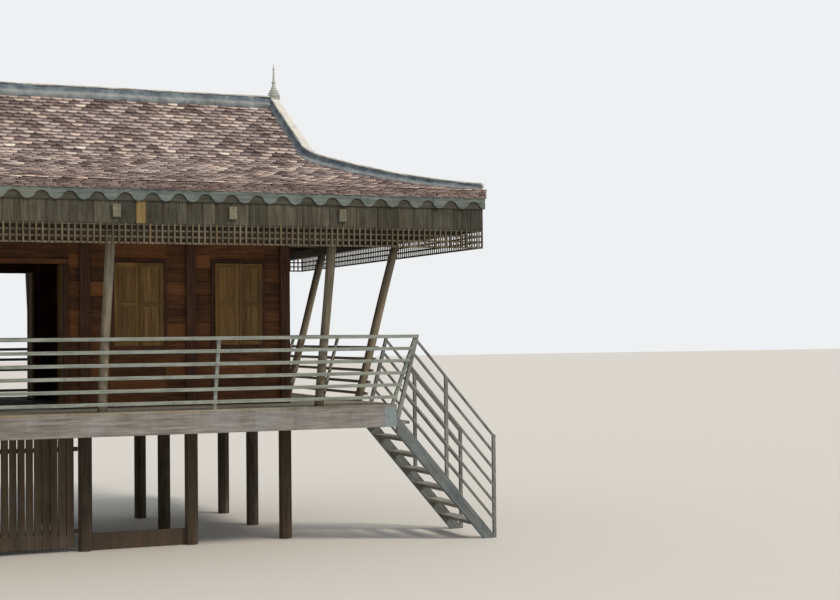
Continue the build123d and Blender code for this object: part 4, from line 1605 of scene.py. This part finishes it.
@dataclass
class Studio:
    """Pale floor, soft lights and the camera where the photographer stood.

    Angles are in degrees and the lens is in millimetres. The camera and reflections see the sky at
    its seen strength, and it lights the house at the other one.
    """

    place: tuple[float, float, float] = (-3.2115, -22.097, 2.905)
    yaw: float = 22.7884
    pitch: float = 1.2250
    roll: float = -0.5386
    lens: float = 64.286
    view_end: float = 400.0
    floor_reach: float = 150.0
    floor_roughness: float = 0.9
    floor_colour: str = "#d9d7d2"
    sky_colour: str = "#eef0f2"
    sun_colour: str = "#fff4e4"
    sun_heading: tuple[float, float, float] = (-0.62, 0.62, -0.72)
    sun_angle: float = 12.0
    sun_strength: float = 2.3
    sky_strength: float = 0.6
    seen_strength: float = 1.0

    def camera(self) -> None:
        """Set the camera at the photograph's place and angle."""
        data = bpy.data.cameras.new("photo_camera")
        data.lens = self.lens
        data.clip_end = self.view_end
        camera = bpy.data.objects.new("photo_camera", data)
        turn = Euler((0, 0, np.radians(-self.yaw))).to_matrix()
        tip = Euler((np.radians(90 + self.pitch), 0, 0)).to_matrix()
        twist = Euler((0, 0, np.radians(self.roll))).to_matrix()
        camera.rotation_euler = (turn @ tip @ twist).to_euler()
        camera.location = self.place
        bpy.context.scene.collection.objects.link(camera)
        bpy.context.scene.camera = camera

    def floor(self) -> None:
        """Lay a wide pale floor that isn't part of the object."""
        material = bpy.data.materials.new("studio_floor")
        material.use_nodes = True
        shader = material.node_tree.nodes["Principled BSDF"]
        inputs = {"Base Color": linear(self.floor_colour), "Roughness": self.floor_roughness}
        connect(shader, inputs)
        mesh = bpy.data.meshes.new("studio_floor")
        corners = [(self.floor_reach * x, self.floor_reach * y, 0) for x, y in QUADRANTS]
        mesh.from_pydata(corners, [], [(0, 2, 3, 1)])
        mesh.materials.append(material)
        floor = bpy.data.objects.new("studio_floor", mesh)
        bpy.context.scene.collection.objects.link(floor)

    def lights(self) -> None:
        """Light the house with a soft high sun from the right and an even sky."""
        lamp = bpy.data.lights.new("soft_sun", "SUN")
        lamp.energy = self.sun_strength
        lamp.angle = np.radians(self.sun_angle)
        lamp.color = linear(self.sun_colour)[:3]
        sun = bpy.data.objects.new("soft_sun", lamp)
        sun.rotation_euler = Vector(self.sun_heading).to_track_quat("-Z", "Y").to_euler()
        bpy.context.scene.collection.objects.link(sun)
        world = bpy.data.worlds.new("studio_sky")
        bpy.context.scene.world = world
        world.use_nodes = True
        tree = world.node_tree
        rays = add_node(tree, "LightPath").outputs
        seen = rays["Is Camera Ray"]
        for kind in ("Is Glossy Ray", "Is Transmission Ray"):
            seen = add_node(tree, "Math", {0: seen, 1: rays[kind]}, operation="MAXIMUM")
        strengths = {"Value": seen, 3: self.sky_strength, 4: self.seen_strength}
        inputs = {"Color": linear(self.sky_colour), "Strength": add_node(tree, "MapRange", strengths)}
        connect(tree.nodes["Background"], inputs)

    def build(self) -> None:
        """Set up the studio."""
        self.camera()
        self.floor()
        self.lights()
        bpy.context.scene.view_settings.view_transform = "Standard"


def main() -> None:
    """Build every piece of the house and the studio round it."""
    logging.basicConfig(level=logging.INFO, format="%(message)s")
    roof = Roof()
    pieces = (TiledRoof(roof), RoofCaps(roof), EaveTrim(roof), Walls(), Gallery(), Frame(), Studio())
    for piece in pieces:
        piece.build()
        log.info("built %s", type(piece).__name__)


if __name__ == "__main__":
    main()
